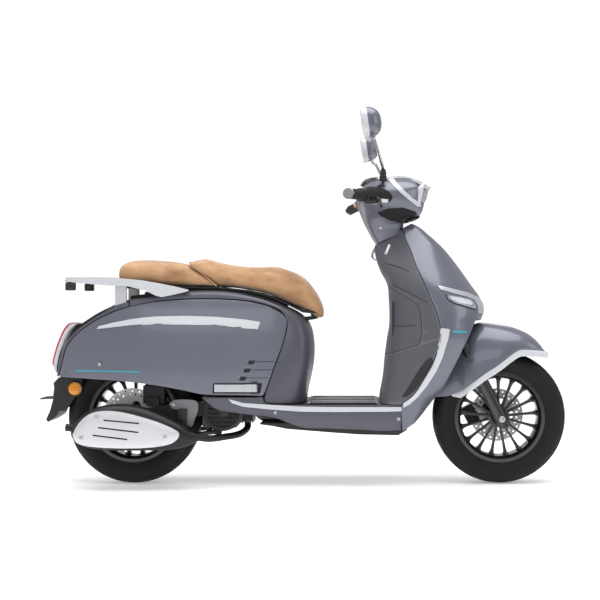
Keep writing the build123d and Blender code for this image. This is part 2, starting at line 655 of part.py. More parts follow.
# ---- engine, which swings with the rear wheel ----
FAN_CENTRE = (-275.0, 265.0)
with BuildPart() as engine_block:
    # crankcase, cylinder with fins and head
    block(-350, -232, -92, 92, 205, 318)
    block(-260, -178, -45, 45, 226, 300)
    for fin in range(6):
        block(-226 + fin * 9, -222 + fin * 9, -56, 56, 218, 307)
    # pivot lug, split around the frame lugs
    rod((PIVOT[0], -48, PIVOT[1]), (PIVOT[0], 48, PIVOT[1]), 17)
    side_block([(-232, 335), (-209, 320), (-225, 300), (-262, 310), (-262, 318)], -48, 48)
    # gear case on the left, behind the belt cover
    side_block(
        [(-330, 318), (-330, 212), (-560, 186), (-620, 186), (-652, 215), (-652, 260),
         (-620, 287), (-540, 296)],
        70, 94,
    )
    rod((REAR_AXLE[0], 66, WHEEL_R), (REAR_AXLE[0], 120, WHEEL_R), 30)
    # arm on the right of the wheel, carrying the muffler and caliper
    side_block([(-340, 300), (-340, 250), (-580, 214), (-622, 216), (-628, 250), (-600, 262),
        (-480, 285)], -108, -96)
    block(-356, -340, -108, -85, 250, 300)
    # stand lugs under the case
    for side in (-1, 1):
        side_block([(-318, 206), (-312, 178), (-288, 178), (-282, 206)], side * 62 - 8, side * 62 + 8)
    # shock lug behind the gear case
    block(-590, -560, 84, 92, 280, 322)
    rod((-575, 84, 305), (-575, 126, 305), 8)
    # holes
    rod((PIVOT[0], -60, PIVOT[1]), (PIVOT[0], 60, PIVOT[1]), AXLE_R + RUN_GAP, mode=Mode.SUBTRACT)
    rod((REAR_AXLE[0], 60, WHEEL_R),
        (REAR_AXLE[0], 114, WHEEL_R), REAR_SHAFT_R + RUN_GAP, mode=Mode.SUBTRACT)
    rod((REAR_AXLE[0], -92, WHEEL_R),
        (REAR_AXLE[0], -110, WHEEL_R), REAR_SHAFT_R + RUN_GAP, mode=Mode.SUBTRACT)
    rod((-300, -80, 190), (-300, 80, 190), AXLE_R + RUN_GAP, mode=Mode.SUBTRACT)
engine_block.part.label = "engine_block"
export_step(engine_block.part, "parts/engine_block.step")

with BuildPart() as cvt_cover:
    with BuildSketch(Plane.XZ.offset(-136)) as belt_case:
        with Locations((-300, 262)):
            Circle(66)
        with Locations((REAR_AXLE[0], 240)):
            Circle(62)
        make_hull()
    extrude(belt_case.sketch, amount=41)
    block(-602, -548, 90, 140, 282, 340, mode=Mode.SUBTRACT)
    rod((REAR_AXLE[0], 90, WHEEL_R), (REAR_AXLE[0], 124, WHEEL_R), 31, mode=Mode.SUBTRACT)
    rod((-430, 136, 262), (-430, 141, 262), 20)
    rod((-430, 128, 262), (-430, 142, 262), AXLE_R + RUN_GAP, mode=Mode.SUBTRACT)
cvt_cover.part.label = "cvt_cover"
export_step(cvt_cover.part, "parts/cvt_cover.step")

with BuildPart() as kick_lever:
    rod((-430, 129, 262), (-430, 158, 262), AXLE_R)
    rod((-430, 142, 262), (-430, 158, 262), 15)
    bent_bar([(-430, 150, 262), (-520, 152, 300), (-590, 152, 304)], 7)
    rod((-590, 143, 304), (-590, 180, 304), 8)
kick_lever.part.label = "kick_lever"
export_step(kick_lever.part, "parts/kick_lever.step")

with BuildPart() as fan_cover:
    rod((FAN_CENTRE[0], -93, FAN_CENTRE[1]), (FAN_CENTRE[0], -118, FAN_CENTRE[1]), 63)
    rod((FAN_CENTRE[0], -110, FAN_CENTRE[1]),
        (FAN_CENTRE[0], -118.5, FAN_CENTRE[1]), 54, mode=Mode.SUBTRACT)
    for bar in range(-3, 4):
        half = math.sqrt(54.5**2 - (bar * 15) ** 2)
        block(
            FAN_CENTRE[0] - half, FAN_CENTRE[0] + half, -117, -112,
            FAN_CENTRE[1] + bar * 15 - 3, FAN_CENTRE[1] + bar * 15 + 3,
        )
fan_cover.part.label = "fan_cover"
export_step(fan_cover.part, "parts/fan_cover.step")

with BuildPart() as air_box:
    block(-520, -400, 96, 134, 334, 384)
    bent_bar([(-405, 112, 350), (-330, 60, 346), (-290, 10, 344)], 13)
air_box.part.label = "air_box"
export_step(air_box.part, "parts/air_box.step")

MUFFLER_Y = -186.0
with BuildPart() as muffler:
    with BuildSketch(Plane.XZ.offset(-MUFFLER_Y - 44)) as can:
        with BuildLine():
            Spline(
                (-788, 205), (-740, 268), (-690, 290), (-600, 296), (-520, 280), (-440, 246), (-385, 212),
                tangents=[(0.2, 1), (1, -0.9)],
            )
            Line((-385, 212), (-372, 160))
            Spline((-372, 160), (-440, 141), (-600, 137), (-700, 141), (-765, 165),
                (-788, 205), tangents=[(-1, -0.2), (-0.2, 1)])
        make_face()
    extrude(can.sketch, amount=88)
    bent_bar([(-390, MUFFLER_Y, 182), (-300, -160, 178), (-208, -40, 180), (-201, -5, 205)], 11)
    rod((-200, 0, 203), (-200, 0, 217.5), 16)
    rod((-780, MUFFLER_Y, 215), (-806, MUFFLER_Y, 216), 13)
    rod((-780, MUFFLER_Y, 215), (-807, MUFFLER_Y, 216), 10, mode=Mode.SUBTRACT)
    # brackets to the arm
    block(-560, -530, MUFFLER_Y + 40, -108.2, 240, 256)
    block(-430, -400, MUFFLER_Y + 40, -108.2, 215, 275)
muffler.part.label = "muffler"
export_step(muffler.part, "parts/muffler.step")

with BuildPart() as muffler_shield:
    with BuildSketch(Plane.XZ.offset(-MUFFLER_Y + 44.5)) as plate:
        with BuildLine():
            Spline(
                (-772, 196), (-750, 235), (-700, 272), (-620, 275), (-520, 252), (-430, 218), (-408, 200),
                tangents=[(0.3, 1), (1, -1)],
            )
            Spline((-408, 200), (-440, 165), (-500, 153), (-600, 151), (-720, 158),
                (-772, 196), tangents=[(-0.4, -1), (-0.2, 1)])
        make_face()
    extrude(plate.sketch, amount=6)
    for slot in range(3):
        with Locations(Location((-606 - 19 * slot, MUFFLER_Y - 47, 240 - 27 * slot), (0, 5, 0))):
            Box(120, 20, 8, mode=Mode.SUBTRACT)
muffler_shield.part.label = "muffler_shield"
export_step(muffler_shield.part, "parts/muffler_shield.step")

with BuildPart() as rear_caliper:
    block(-560, -485, -90, -56, 290, 352)
    with Locations(Location((REAR_AXLE[0], -66, WHEEL_R), (90, 0, 0))):
        Cylinder(110, 8, mode=Mode.SUBTRACT)
    block(-545, -500, -108, -88, 282, 310)
rear_caliper.part.label = "rear_caliper"
export_step(rear_caliper.part, "parts/rear_caliper.step")

with BuildPart() as centre_stand:
    rod((-300, -92, 190), (-300, 92, 190), AXLE_R)
    for side in (-1, 1):
        bent_bar([(-300, side * 84, 190), (-400, side * 90, 178), (-490, side * 112, 160)], 8)
        block(-505, -475, side * 112 - 14, side * 112 + 14, 148, 160)
    rod((-338, -88, 185), (-338, 88, 185), 7)
centre_stand.part.label = "centre_stand"
export_step(centre_stand.part, "parts/centre_stand.step")

# ---- shock absorber, upright on the left ----
SHOCK = (-575.0, 112.0)
SHOCK_TOP = 540.0
SHOCK_LOW = 305.0
with BuildPart() as shock_upper:
    rod((SHOCK[0], 103, SHOCK_TOP), (SHOCK[0], 121, SHOCK_TOP), 13)
    rod((*SHOCK, 440), (*SHOCK, SHOCK_TOP), 9)
    rod((*SHOCK, 517), (*SHOCK, 523), 27)
    rod((SHOCK[0], 100, SHOCK_TOP), (SHOCK[0], 124, SHOCK_TOP), 6 + RUN_GAP, mode=Mode.SUBTRACT)
shock_upper.part.label = "shock_upper"
export_step(shock_upper.part, "parts/shock_upper.step")

with BuildPart() as shock_lower:
    rod((SHOCK[0], 100, SHOCK_LOW), (SHOCK[0], 124, SHOCK_LOW), 17)
    rod((*SHOCK, SHOCK_LOW), (*SHOCK, 462), 15)
    rod((*SHOCK, 352), (*SHOCK, 358), 27)
    rod((*SHOCK, 380), (*SHOCK, 470), 9 + RUN_GAP, mode=Mode.SUBTRACT)
    rod((SHOCK[0], 90, SHOCK_LOW), (SHOCK[0], 130, SHOCK_LOW), 11, mode=Mode.SUBTRACT)
shock_lower.part.label = "shock_lower"
export_step(shock_lower.part, "parts/shock_lower.step")

with BuildPart() as shock_spring:
    with BuildLine(Plane(origin=(*SHOCK, 366))) as coil:
        Helix(pitch=20, height=142, radius=21)
    with BuildSketch(Plane(origin=coil.line @ 0, z_dir=coil.line % 0)):
        Circle(4.5)
    sweep(is_frenet=True)
shock_spring.part.label = "shock_spring"
export_step(shock_spring.part, "parts/shock_spring.step")

# ---- passenger footpegs, folded back along the body ----
for side, name in ((-1, "footpeg_right"), (1, "footpeg_left")):
    with BuildPart() as footpeg:
        peg_y = side * 163
        block(-300, -162, peg_y - 7, peg_y + 7, 336, 362)
        rod((-162, peg_y, 336), (-162, peg_y, 362), 10)
        rod((-162, peg_y, 330), (-162, peg_y, 370), 5 + RUN_GAP, mode=Mode.SUBTRACT)
        for groove in range(9):
            block(-292 + groove * 12, -288 + groove * 12, peg_y - 8, peg_y + 8, 360, 363,
                mode=Mode.SUBTRACT)
    footpeg.part.label = name
    export_step(footpeg.part, f"parts/{name}.step")

# ---- handlebar, grips, levers and switches ----
BAR_R = 11.0
BAR_MID = (213.0, 1014.0)
BAR_END = (166.0, 1003.0)
BAR_BEND_Y = 180.0
BAR_END_Y = 345.0
MIRROR_BASE = (283.0, 118.0, 1060.0)
MIRROR_PIN = (250.0, 322.0, 1184.0)


def bar_point(side, y):
    """Point on the handlebar's straight end at a given half width."""
    share = (y - BAR_BEND_Y) / (BAR_END_Y - BAR_BEND_Y)
    return (
        BAR_MID[0] + share * (BAR_END[0] - BAR_MID[0]),
        side * y,
        BAR_MID[1] + share * (BAR_END[1] - BAR_MID[1]),
    )


def sleeve(side, y_in, y_out, outer, inner):
    """Tube around the handlebar's straight end."""
    rod(bar_point(side, y_in), bar_point(side, y_out), outer)
    rod(bar_point(side, y_in - 5), bar_point(side, y_out + 5), inner, mode=Mode.SUBTRACT)


clamp_top = (STEER * Location((0, 0, 78))).position
clamp_low = (STEER * Location((0, 0, 12))).position
with BuildPart() as handlebar:
    rod(clamp_low, clamp_top, 20)
    rod((STEER * Location((0, 0, 0))).position, (STEER * Location((0, 0, 60))).position,
        STEM_R + 0.2, mode=Mode.SUBTRACT)
    post_low = (STEER * Location((0, 0, 70))).position
    bent_bar([tuple(post_low), (262, 0, 992), (BAR_MID[0], 0, BAR_MID[1])], BAR_R + 3)
    bent_bar([bar_point(-1, BAR_END_Y), bar_point(-1, BAR_BEND_Y), bar_point(1, BAR_BEND_Y),
        bar_point(1, BAR_END_Y)], BAR_R)
    for side in (-1, 1):
        rod(bar_point(side, BAR_END_Y - 0.5), bar_point(side, BAR_END_Y + 12), 18)
        # mirror stem with its carrier to the bar
        base = (MIRROR_BASE[0], side * MIRROR_BASE[1], MIRROR_BASE[2])
        pin = (MIRROR_PIN[0], side * MIRROR_PIN[1], MIRROR_PIN[2])
        bent_bar([(BAR_MID[0], base[1], BAR_MID[1]), base, (283, side * 118, 1110),
            (264, side * 200, 1160), pin], 5.5)
        rod((283, side * 118, 1082), (283, side * 118, 1104), 10)
        rod(pin, (pin[0], pin[1], pin[2] + 28), 5)
handlebar.part.label = "handlebar"
export_step(handlebar.part, "parts/handlebar.step")

for side, name in ((-1, "mirror_head_right"), (1, "mirror_head_left")):
    with BuildPart() as mirror_head:
        with BuildSketch(Plane.YZ.offset(222)) as shell_face:
            with Locations((side * 325, 1240)):
                RectangleRounded(136, 98, 40)
        extrude(shell_face.sketch, amount=36)
        fillet(mirror_head.edges().filter_by(Plane.YZ).group_by(Axis.X)[-1], 22)
        rod(
            (MIRROR_PIN[0], side * MIRROR_PIN[1], MIRROR_PIN[2]),
            (MIRROR_PIN[0], side * MIRROR_PIN[1], MIRROR_PIN[2] + 30), 5 + RUN_GAP, mode=Mode.SUBTRACT,
        )
    mirror_head.part.label = name
    export_step(mirror_head.part, f"parts/{name}.step")

with BuildPart() as left_grip:
    sleeve(1, 216, 344, 17, BAR_R + 0.3)
left_grip.part.label = "left_grip"
export_step(left_grip.part, "parts/left_grip.step")

with BuildPart() as throttle_grip:
    sleeve(-1, 216, 344, 17, BAR_R + RUN_GAP)
throttle_grip.part.label = "throttle_grip"
export_step(throttle_grip.part, "parts/throttle_grip.step")

LEVER_PIVOT = (247.0, 198.0)
with BuildPart() as switch_housings:
    for side in (-1, 1):
        rod(bar_point(side, 186), bar_point(side, 214), 22)
        # lever bracket with two ears
        pivot_y = side * LEVER_PIVOT[1]
        block(210, 256, pivot_y - 11, pivot_y + 11, 989, 1014)
        block(234, 270, pivot_y - 12, pivot_y + 12, 994, 1006, mode=Mode.SUBTRACT)
        rod((LEVER_PIVOT[0], pivot_y, 989), (LEVER_PIVOT[0], pivot_y, 1014), 4)
        rod(bar_point(side, 170), bar_point(side, 220), BAR_R + 0.3, mode=Mode.SUBTRACT)
    # pockets for the start button, horn button and indicator switch
    rod((170, -200, 1012), (194.5, -200, 1012), 5.2, mode=Mode.SUBTRACT)
    rod((170, 193, 1006), (195, 193, 1006), 5.2, mode=Mode.SUBTRACT)
    block(170, 193.5, 199.3, 212, 1006, 1020, mode=Mode.SUBTRACT)
switch_housings.part.label = "switch_housings"
export_step(switch_housings.part, "parts/switch_housings.step")

with BuildPart() as start_button:
    rod((179, -200, 1012), (191, -200, 1012), 5)
start_button.part.label = "start_button"
export_step(start_button.part, "parts/start_button.step")
with BuildPart() as horn_button:
    rod((180, 193, 1006), (191.5, 193, 1006), 5)
horn_button.part.label = "horn_button"
export_step(horn_button.part, "parts/horn_button.step")
with BuildPart() as indicator_switch:
    block(177, 192, 202.7, 207.2, 1008, 1018)
indicator_switch.part.label = "indicator_switch"
export_step(indicator_switch.part, "parts/indicator_switch.step")

for side, name in ((-1, "brake_lever_right"), (1, "brake_lever_left")):
    with BuildPart() as brake_lever:
        rod((LEVER_PIVOT[0], side * LEVER_PIVOT[1], 994.3),
            (LEVER_PIVOT[0], side * LEVER_PIVOT[1], 1005.7), 9)
        bent_bar(
            [
                (LEVER_PIVOT[0] + 5, side * 203, 1000), (262, side * 218, 1000), (271, side * 250, 985),
                (266, side * 300, 970), (272, side * 345, 962),
            ],
            5.5,
        )
        rod((LEVER_PIVOT[0], side * LEVER_PIVOT[1], 980),
            (LEVER_PIVOT[0], side * LEVER_PIVOT[1], 1020), 4 + RUN_GAP, mode=Mode.SUBTRACT)
    brake_lever.part.label = name
    export_step(brake_lever.part, f"parts/{name}.step")

# ---- steering cover, lamp and instruments ----
COWL = [
    (200, 972), (190, 1005), (196, 1045), (205, 1062), (222, 1077), (250, 1084), (275, 1082),
    (303, 1094), (360, 1094),
    (400, 1084), (418, 1070), (400, 984), (398, 972),
]
COWL_IN = [
    (203, 960), (194, 1005), (199, 1044), (207, 1059), (223, 1073), (250, 1080), (276, 1078),
    (303, 1090), (359, 1090),
    (398, 1081), (414, 1068), (397, 985), (395, 960),
]
COWL_PLAN = [(186, 150), (230, 172), (300, 160), (360, 124), (405, 92), (420, 84)]
NECK = [(200, 971), (215, 925), (230, 895), (250, 865), (253, 840), (364, 895), (358, 915),
    (362, 930), (395, 944), (398, 971)]
NECK_IN = [(206, 990), (218, 927), (233, 897), (253, 867), (240, 820), (370, 890), (355, 915),
    (359, 932), (391, 947), (392, 990)]
with BuildPart() as handlebar_cover:
    side_block(COWL, -180, 180)
    plan_block(COWL_PLAN, 940, 1110, mode=Mode.INTERSECT)
    with BuildPart(mode=Mode.PRIVATE) as cowl_core:
        side_block(COWL_IN, -180, 180)
        plan_block(inset_plan(COWL_PLAN, WALL), 940, 1110, mode=Mode.INTERSECT)
    with BuildPart(mode=Mode.PRIVATE) as neck_shell:
        side_block(NECK, -66, 66)
        side_block(NECK_IN, -63, 63, mode=Mode.SUBTRACT)
        split(bisect_by=STEER.offset(-2), keep=Keep.TOP)
    add(cowl_core.part, mode=Mode.SUBTRACT)
    # floor of the cowl around the neck
    for side in (-1, 1):
        side_block([(200, 972), (200, 975), (396, 975), (396, 972)], side * 100 - 37, side * 100 + 37)
    with BuildPart(mode=Mode.PRIVATE) as cowl_limit:
        side_block(COWL, -180, 180)
        plan_block(COWL_PLAN, 940, 1110, mode=Mode.INTERSECT)
    add(cowl_limit.part, mode=Mode.INTERSECT)
    add(neck_shell.part)
    # hand openings at the sides, holes for the mirror stems, opening for the instruments
    for side in (-1, 1):
        rod((205, side * 120, 1012), (205, side * 200, 1012), 27, mode=Mode.SUBTRACT)
        block(205, 262, side * 165 - 20, side * 165 + 20, 984, 1024, mode=Mode.SUBTRACT)
        rod((283, side * 118, 1070), (283, side * 118, 1100), 11.5, mode=Mode.SUBTRACT)
    block(206, 262, -66, 66, 1050, 1100, mode=Mode.SUBTRACT)
handlebar_cover.part.label = "handlebar_cover"
export_step(handlebar_cover.part, "parts/handlebar_cover.step")

with BuildPart() as instrument_cluster:
    side_block([(207, 1056), (207, 1063), (223, 1077), (250, 1085), (261, 1084), (261, 1056)], -65, 65)
instrument_cluster.part.label = "instrument_cluster"
export_step(instrument_cluster.part, "parts/instrument_cluster.step")

BEZEL = [(402, 981), (409, 981), (428, 1066), (421, 1068)]
with BuildPart() as steering_trims:
    side_block(BEZEL, -86, 86)
    # strips along the fender's lower edge
    for side in (-1, 1):
        side_block(
            [
                (870, 452), (775, 452), (758, 447), (700, 402), (650, 365), (600, 327),
                (548, 315), (548, 337), (600, 352),
                (650, 390), (700, 427), (758, 470), (775, 474), (858, 470),
            ],
            side * 95 - 45, side * 95 + 45,
        )
    with BuildPart(mode=Mode.PRIVATE) as strip_core:
        plan_block([(x - 0.5, half + 0.3) for x, half in FENDER_PLAN[:-1]] + [(871, 48.3)], 300, 600)
    with BuildPart(mode=Mode.PRIVATE) as strip_limit:
        plan_block([(x - 0.5, half + 2.5) for x, half in FENDER_PLAN[:-1]] + [(873, 50.5)], 300, 600)
        side_block([(400, 975), (450, 975), (450, 1075), (400, 1075)], -90, 90)
    add(strip_core.part, mode=Mode.SUBTRACT)
    add(strip_limit.part, mode=Mode.INTERSECT)
steering_trims.part.label = "steering_trims"
export_step(steering_trims.part, "parts/steering_trims.step")

with BuildPart() as headlight_lens:
    side_block([(410, 982), (434, 986), (446, 1012), (451, 1044), (446, 1060), (429, 1066)], -84, 84)
    plan_block([(400, 84), (412, 84), (430, 74), (444, 52), (452, 24)], 970, 1080, mode=Mode.INTERSECT)
headlight_lens.part.label = "headlight_lens"
export_step(headlight_lens.part, "parts/headlight_lens.step")

# ---- lamps and strips that follow the leg shield and the body ----
LAMP_ZONE = [
    (475, 700), (520, 693), (560, 684), (607, 669), (624, 642), (622, 612), (600, 618),
    (580, 625), (520, 640),
    (500, 655), (493, 672),
]
with BuildPart() as front_lamps:
    add(shield(2.6))
    add(shield(0.2), mode=Mode.SUBTRACT)
    side_block(LAMP_ZONE, -260, 260, mode=Mode.INTERSECT)
    block(400, 700, -22, 22, 500, 800, mode=Mode.SUBTRACT)
front_lamps.part.label = "front_lamps"
export_step(front_lamps.part, "parts/front_lamps.step")

SHIELD_STRIP = [
    (480, 556), (511, 552), (508, 540), (498, 500), (485, 455), (465, 410), (430, 355),
    (400, 318), (385, 304),
    (372, 309), (382, 320), (402, 345), (432, 395), (452, 430), (467, 470), (480, 520),
]
NOSE_STRIP = [(628, 584), (700, 584), (700, 618), (636, 618)]
BODY_STRIP = [
    (-705, 562), (-650, 575), (-600, 585), (-500, 596), (-400, 597), (-300, 594), (-200, 585),
    (-142, 577), (-150, 552),
    (-200, 558), (-300, 568), (-400, 572), (-500, 571), (-600, 566), (-712, 552),
]
with BuildPart() as body_trims:
    with BuildPart(mode=Mode.PRIVATE) as shield_strips:
        add(shield(2.4))
        add(shield(0.2), mode=Mode.SUBTRACT)
        with BuildPart(mode=Mode.PRIVATE) as strip_zone:
            side_block(SHIELD_STRIP, -260, 260)
            side_block(NOSE_STRIP, -260, 260)
        add(strip_zone.part, mode=Mode.INTERSECT)
    with BuildPart(mode=Mode.PRIVATE) as body_strips:
        plan_block([(x, half + 2.4) for x, half in BODY_PLAN], 540, 600)
        plan_block([(x, half + 0.2) for x, half in BODY_PLAN], 530, 610, mode=Mode.SUBTRACT)
        side_block(BODY_STRIP, -260, 260, mode=Mode.INTERSECT)
    add(shield_strips.part)
    add(body_strips.part)
    for side in (-1, 1):
        side_block(
            [(-250, 300), (-200, 283), (-100, 276), (0, 268), (342, 268), (342, 284), (0, 285),
             (-100, 291), (-200, 298)],
            side * (FLOOR_HALF_W + 1.2) - 1, side * (FLOOR_HALF_W + 1.2) + 1,
        )
body_trims.part.label = "body_trims"
export_step(body_trims.part, "parts/body_trims.step")

with BuildPart() as body_screws:
    for side in (-1, 1):
        rod((335, side * (FLOOR_HALF_W + 0.2), 243), (335, side * (FLOOR_HALF_W + 3), 243), 6)
        rod((-700, side * 143, 430), (-700, side * 146, 430), 6)
        rod((-90, side * (FLOOR_HALF_W + 0.2), 265), (-90, side * (FLOOR_HALF_W + 3), 265), 6)
body_screws.part.label = "body_screws"
export_step(body_screws.part, "parts/body_screws.step")
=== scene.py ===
import math

import bmesh
import bpy
import numpy as np
from mathutils import Matrix, Vector
from mathutils.bvhtree import BVHTree


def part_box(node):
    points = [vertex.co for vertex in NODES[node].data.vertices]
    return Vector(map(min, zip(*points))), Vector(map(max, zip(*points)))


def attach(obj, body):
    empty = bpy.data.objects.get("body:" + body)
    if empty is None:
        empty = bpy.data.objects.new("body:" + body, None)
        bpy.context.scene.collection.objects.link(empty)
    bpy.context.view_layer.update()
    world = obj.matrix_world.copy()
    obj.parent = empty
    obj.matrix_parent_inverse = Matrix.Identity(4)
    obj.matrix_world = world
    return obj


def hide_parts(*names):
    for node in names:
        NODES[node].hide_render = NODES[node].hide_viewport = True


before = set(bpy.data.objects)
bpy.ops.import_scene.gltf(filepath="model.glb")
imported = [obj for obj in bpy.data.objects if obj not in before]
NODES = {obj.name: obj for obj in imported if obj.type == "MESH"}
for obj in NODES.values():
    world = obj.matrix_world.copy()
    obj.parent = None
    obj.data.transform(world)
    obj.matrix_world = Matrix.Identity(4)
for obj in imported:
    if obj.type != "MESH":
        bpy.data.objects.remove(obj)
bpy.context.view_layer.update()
MM = 0.001


# ---------------------------------------------------------------- materials
def rgb(r, g, b):
    """Linear colour from 8-bit sRGB."""
    def lin(c):
        c /= 255
        return c / 12.92 if c < 0.04 else ((c + 0.055) / 1.055) ** 2.4
    return (lin(r), lin(g), lin(b), 1.0)


def material(name, colour, rough, metal=0.0, coat=0.0, vary=0.10, grain=0.0, grain_size=400.0,
             cloud=9.0, wear=0.0, wear_colour=(200, 200, 200), sheen=0.0, alpha=1.0, glow=0.0,
             trans=0.0, kind="noise", rough_vary=0.06, specular=0.5):
    """Procedural finish: cloudy tint, varied gloss, fine grain and worn edges."""
    mat = bpy.data.materials.new(name)
    mat.use_nodes = True
    nt = mat.node_tree
    nt.nodes.clear()
    out = nt.nodes.new("ShaderNodeOutputMaterial")
    bsdf = nt.nodes.new("ShaderNodeBsdfPrincipled")
    nt.links.new(bsdf.outputs[0], out.inputs[0])
    coord = nt.nodes.new("ShaderNodeTexCoord")
    base = rgb(*colour)
    bsdf.inputs["Metallic"].default_value = metal
    bsdf.inputs["Coat Weight"].default_value = coat
    bsdf.inputs["Coat Roughness"].default_value = 0.08
    bsdf.inputs["Specular IOR Level"].default_value = specular
    bsdf.inputs["Sheen Weight"].default_value = sheen
    bsdf.inputs["Sheen Roughness"].default_value = 0.45
    bsdf.inputs["Transmission Weight"].default_value = trans
    bsdf.inputs["Alpha"].default_value = alpha
    if glow:
        bsdf.inputs["Emission Color"].default_value = base
        bsdf.inputs["Emission Strength"].default_value = glow
    clouds = nt.nodes.new("ShaderNodeTexNoise")
    clouds.inputs["Scale"].default_value = cloud
    clouds.inputs["Detail"].default_value = 6.0
    nt.links.new(coord.outputs["Object"], clouds.inputs["Vector"])
    ramp = nt.nodes.new("ShaderNodeValToRGB")
    ramp.color_ramp.elements[0].position = 0.3
    ramp.color_ramp.elements[1].position = 0.7
    ramp.color_ramp.elements[0].color = tuple(c * (1 - vary) for c in base[:3]) + (1,)
    ramp.color_ramp.elements[1].color = tuple(min(1, c * (1 + vary)) for c in base[:3]) + (1,)
    nt.links.new(clouds.outputs["Fac"], ramp.inputs["Fac"])
    tint = ramp.outputs["Color"]
    if wear:
        geo = nt.nodes.new("ShaderNodeNewGeometry")
        edge = nt.nodes.new("ShaderNodeMapRange")
        edge.inputs["From Min"].default_value = 0.53
        edge.inputs["From Max"].default_value = 0.62
        edge.inputs["To Max"].default_value = wear
        nt.links.new(geo.outputs["Pointiness"], edge.inputs["Value"])
        mix = nt.nodes.new("ShaderNodeMix")
        mix.data_type = "RGBA"
        mix.inputs["B"].default_value = rgb(*wear_colour)
        nt.links.new(edge.outputs["Result"], mix.inputs["Factor"])
        nt.links.new(tint, mix.inputs["A"])
        tint = mix.outputs["Result"]
    nt.links.new(tint, bsdf.inputs["Base Color"])
    gloss = nt.nodes.new("ShaderNodeMapRange")
    gloss.inputs["To Min"].default_value = max(0.02, rough - rough_vary)
    gloss.inputs["To Max"].default_value = min(1.0, rough + rough_vary)
    nt.links.new(clouds.outputs["Fac"], gloss.inputs["Value"])
    nt.links.new(gloss.outputs["Result"], bsdf.inputs["Roughness"])
    if grain:
        if kind == "voronoi":
            fine = nt.nodes.new("ShaderNodeTexVoronoi")
            height = fine.outputs["Distance"]
        elif kind == "wave":
            fine = nt.nodes.new("ShaderNodeTexWave")
            fine.inputs["Distortion"].default_value = 1.5
            fine.bands_direction = "DIAGONAL"
            height = fine.outputs["Fac"]
        else:
            fine = nt.nodes.new("ShaderNodeTexNoise")
            fine.inputs["Detail"].default_value = 4.0
            height = fine.outputs["Fac"]
        fine.inputs["Scale"].default_value = grain_size
        nt.links.new(coord.outputs["Object"], fine.inputs["Vector"])
        bump = nt.nodes.new("ShaderNodeBump")
        bump.inputs["Strength"].default_value = grain
        bump.inputs["Distance"].default_value = 0.001
        nt.links.new(height, bump.inputs["Height"])
        nt.links.new(bump.outputs["Normal"], bsdf.inputs["Normal"])
    return mat


def suede(name, light, mid, dark):
    """Brushed suede: short nap with cloudy lighter and darker strokes and fine pits."""
    mat = material(name, mid, 0.86, sheen=0.35, grain=0.55, grain_size=620.0, rough_vary=0.05)
    nt = mat.node_tree
    bsdf = next(n for n in nt.nodes if n.type == "BSDF_PRINCIPLED")
    coord = next(n for n in nt.nodes if n.type == "TEX_COORD")
    stretch = nt.nodes.new("ShaderNodeMapping")
    stretch.inputs["Scale"].default_value = (0.6, 1.2, 1.0)
    nt.links.new(coord.outputs["Object"], stretch.inputs["Vector"])
    nap = nt.nodes.new("ShaderNodeTexNoise")
    nap.inputs["Scale"].default_value = 16.0
    nap.inputs["Detail"].default_value = 9.0
    nap.inputs["Roughness"].default_value = 0.62
    nt.links.new(stretch.outputs["Vector"], nap.inputs["Vector"])
    ramp = nt.nodes.new("ShaderNodeValToRGB")
    ramp.color_ramp.elements[0].position = 0.30
    ramp.color_ramp.elements[0].color = rgb(*dark)
    ramp.color_ramp.elements[1].position = 0.72
    ramp.color_ramp.elements[1].color = rgb(*light)
    centre = ramp.color_ramp.elements.new(0.5)
    centre.color = rgb(*mid)
    nt.links.new(nap.outputs["Fac"], ramp.inputs["Fac"])
    nt.links.new(ramp.outputs["Color"], bsdf.inputs["Base Color"])
    return mat


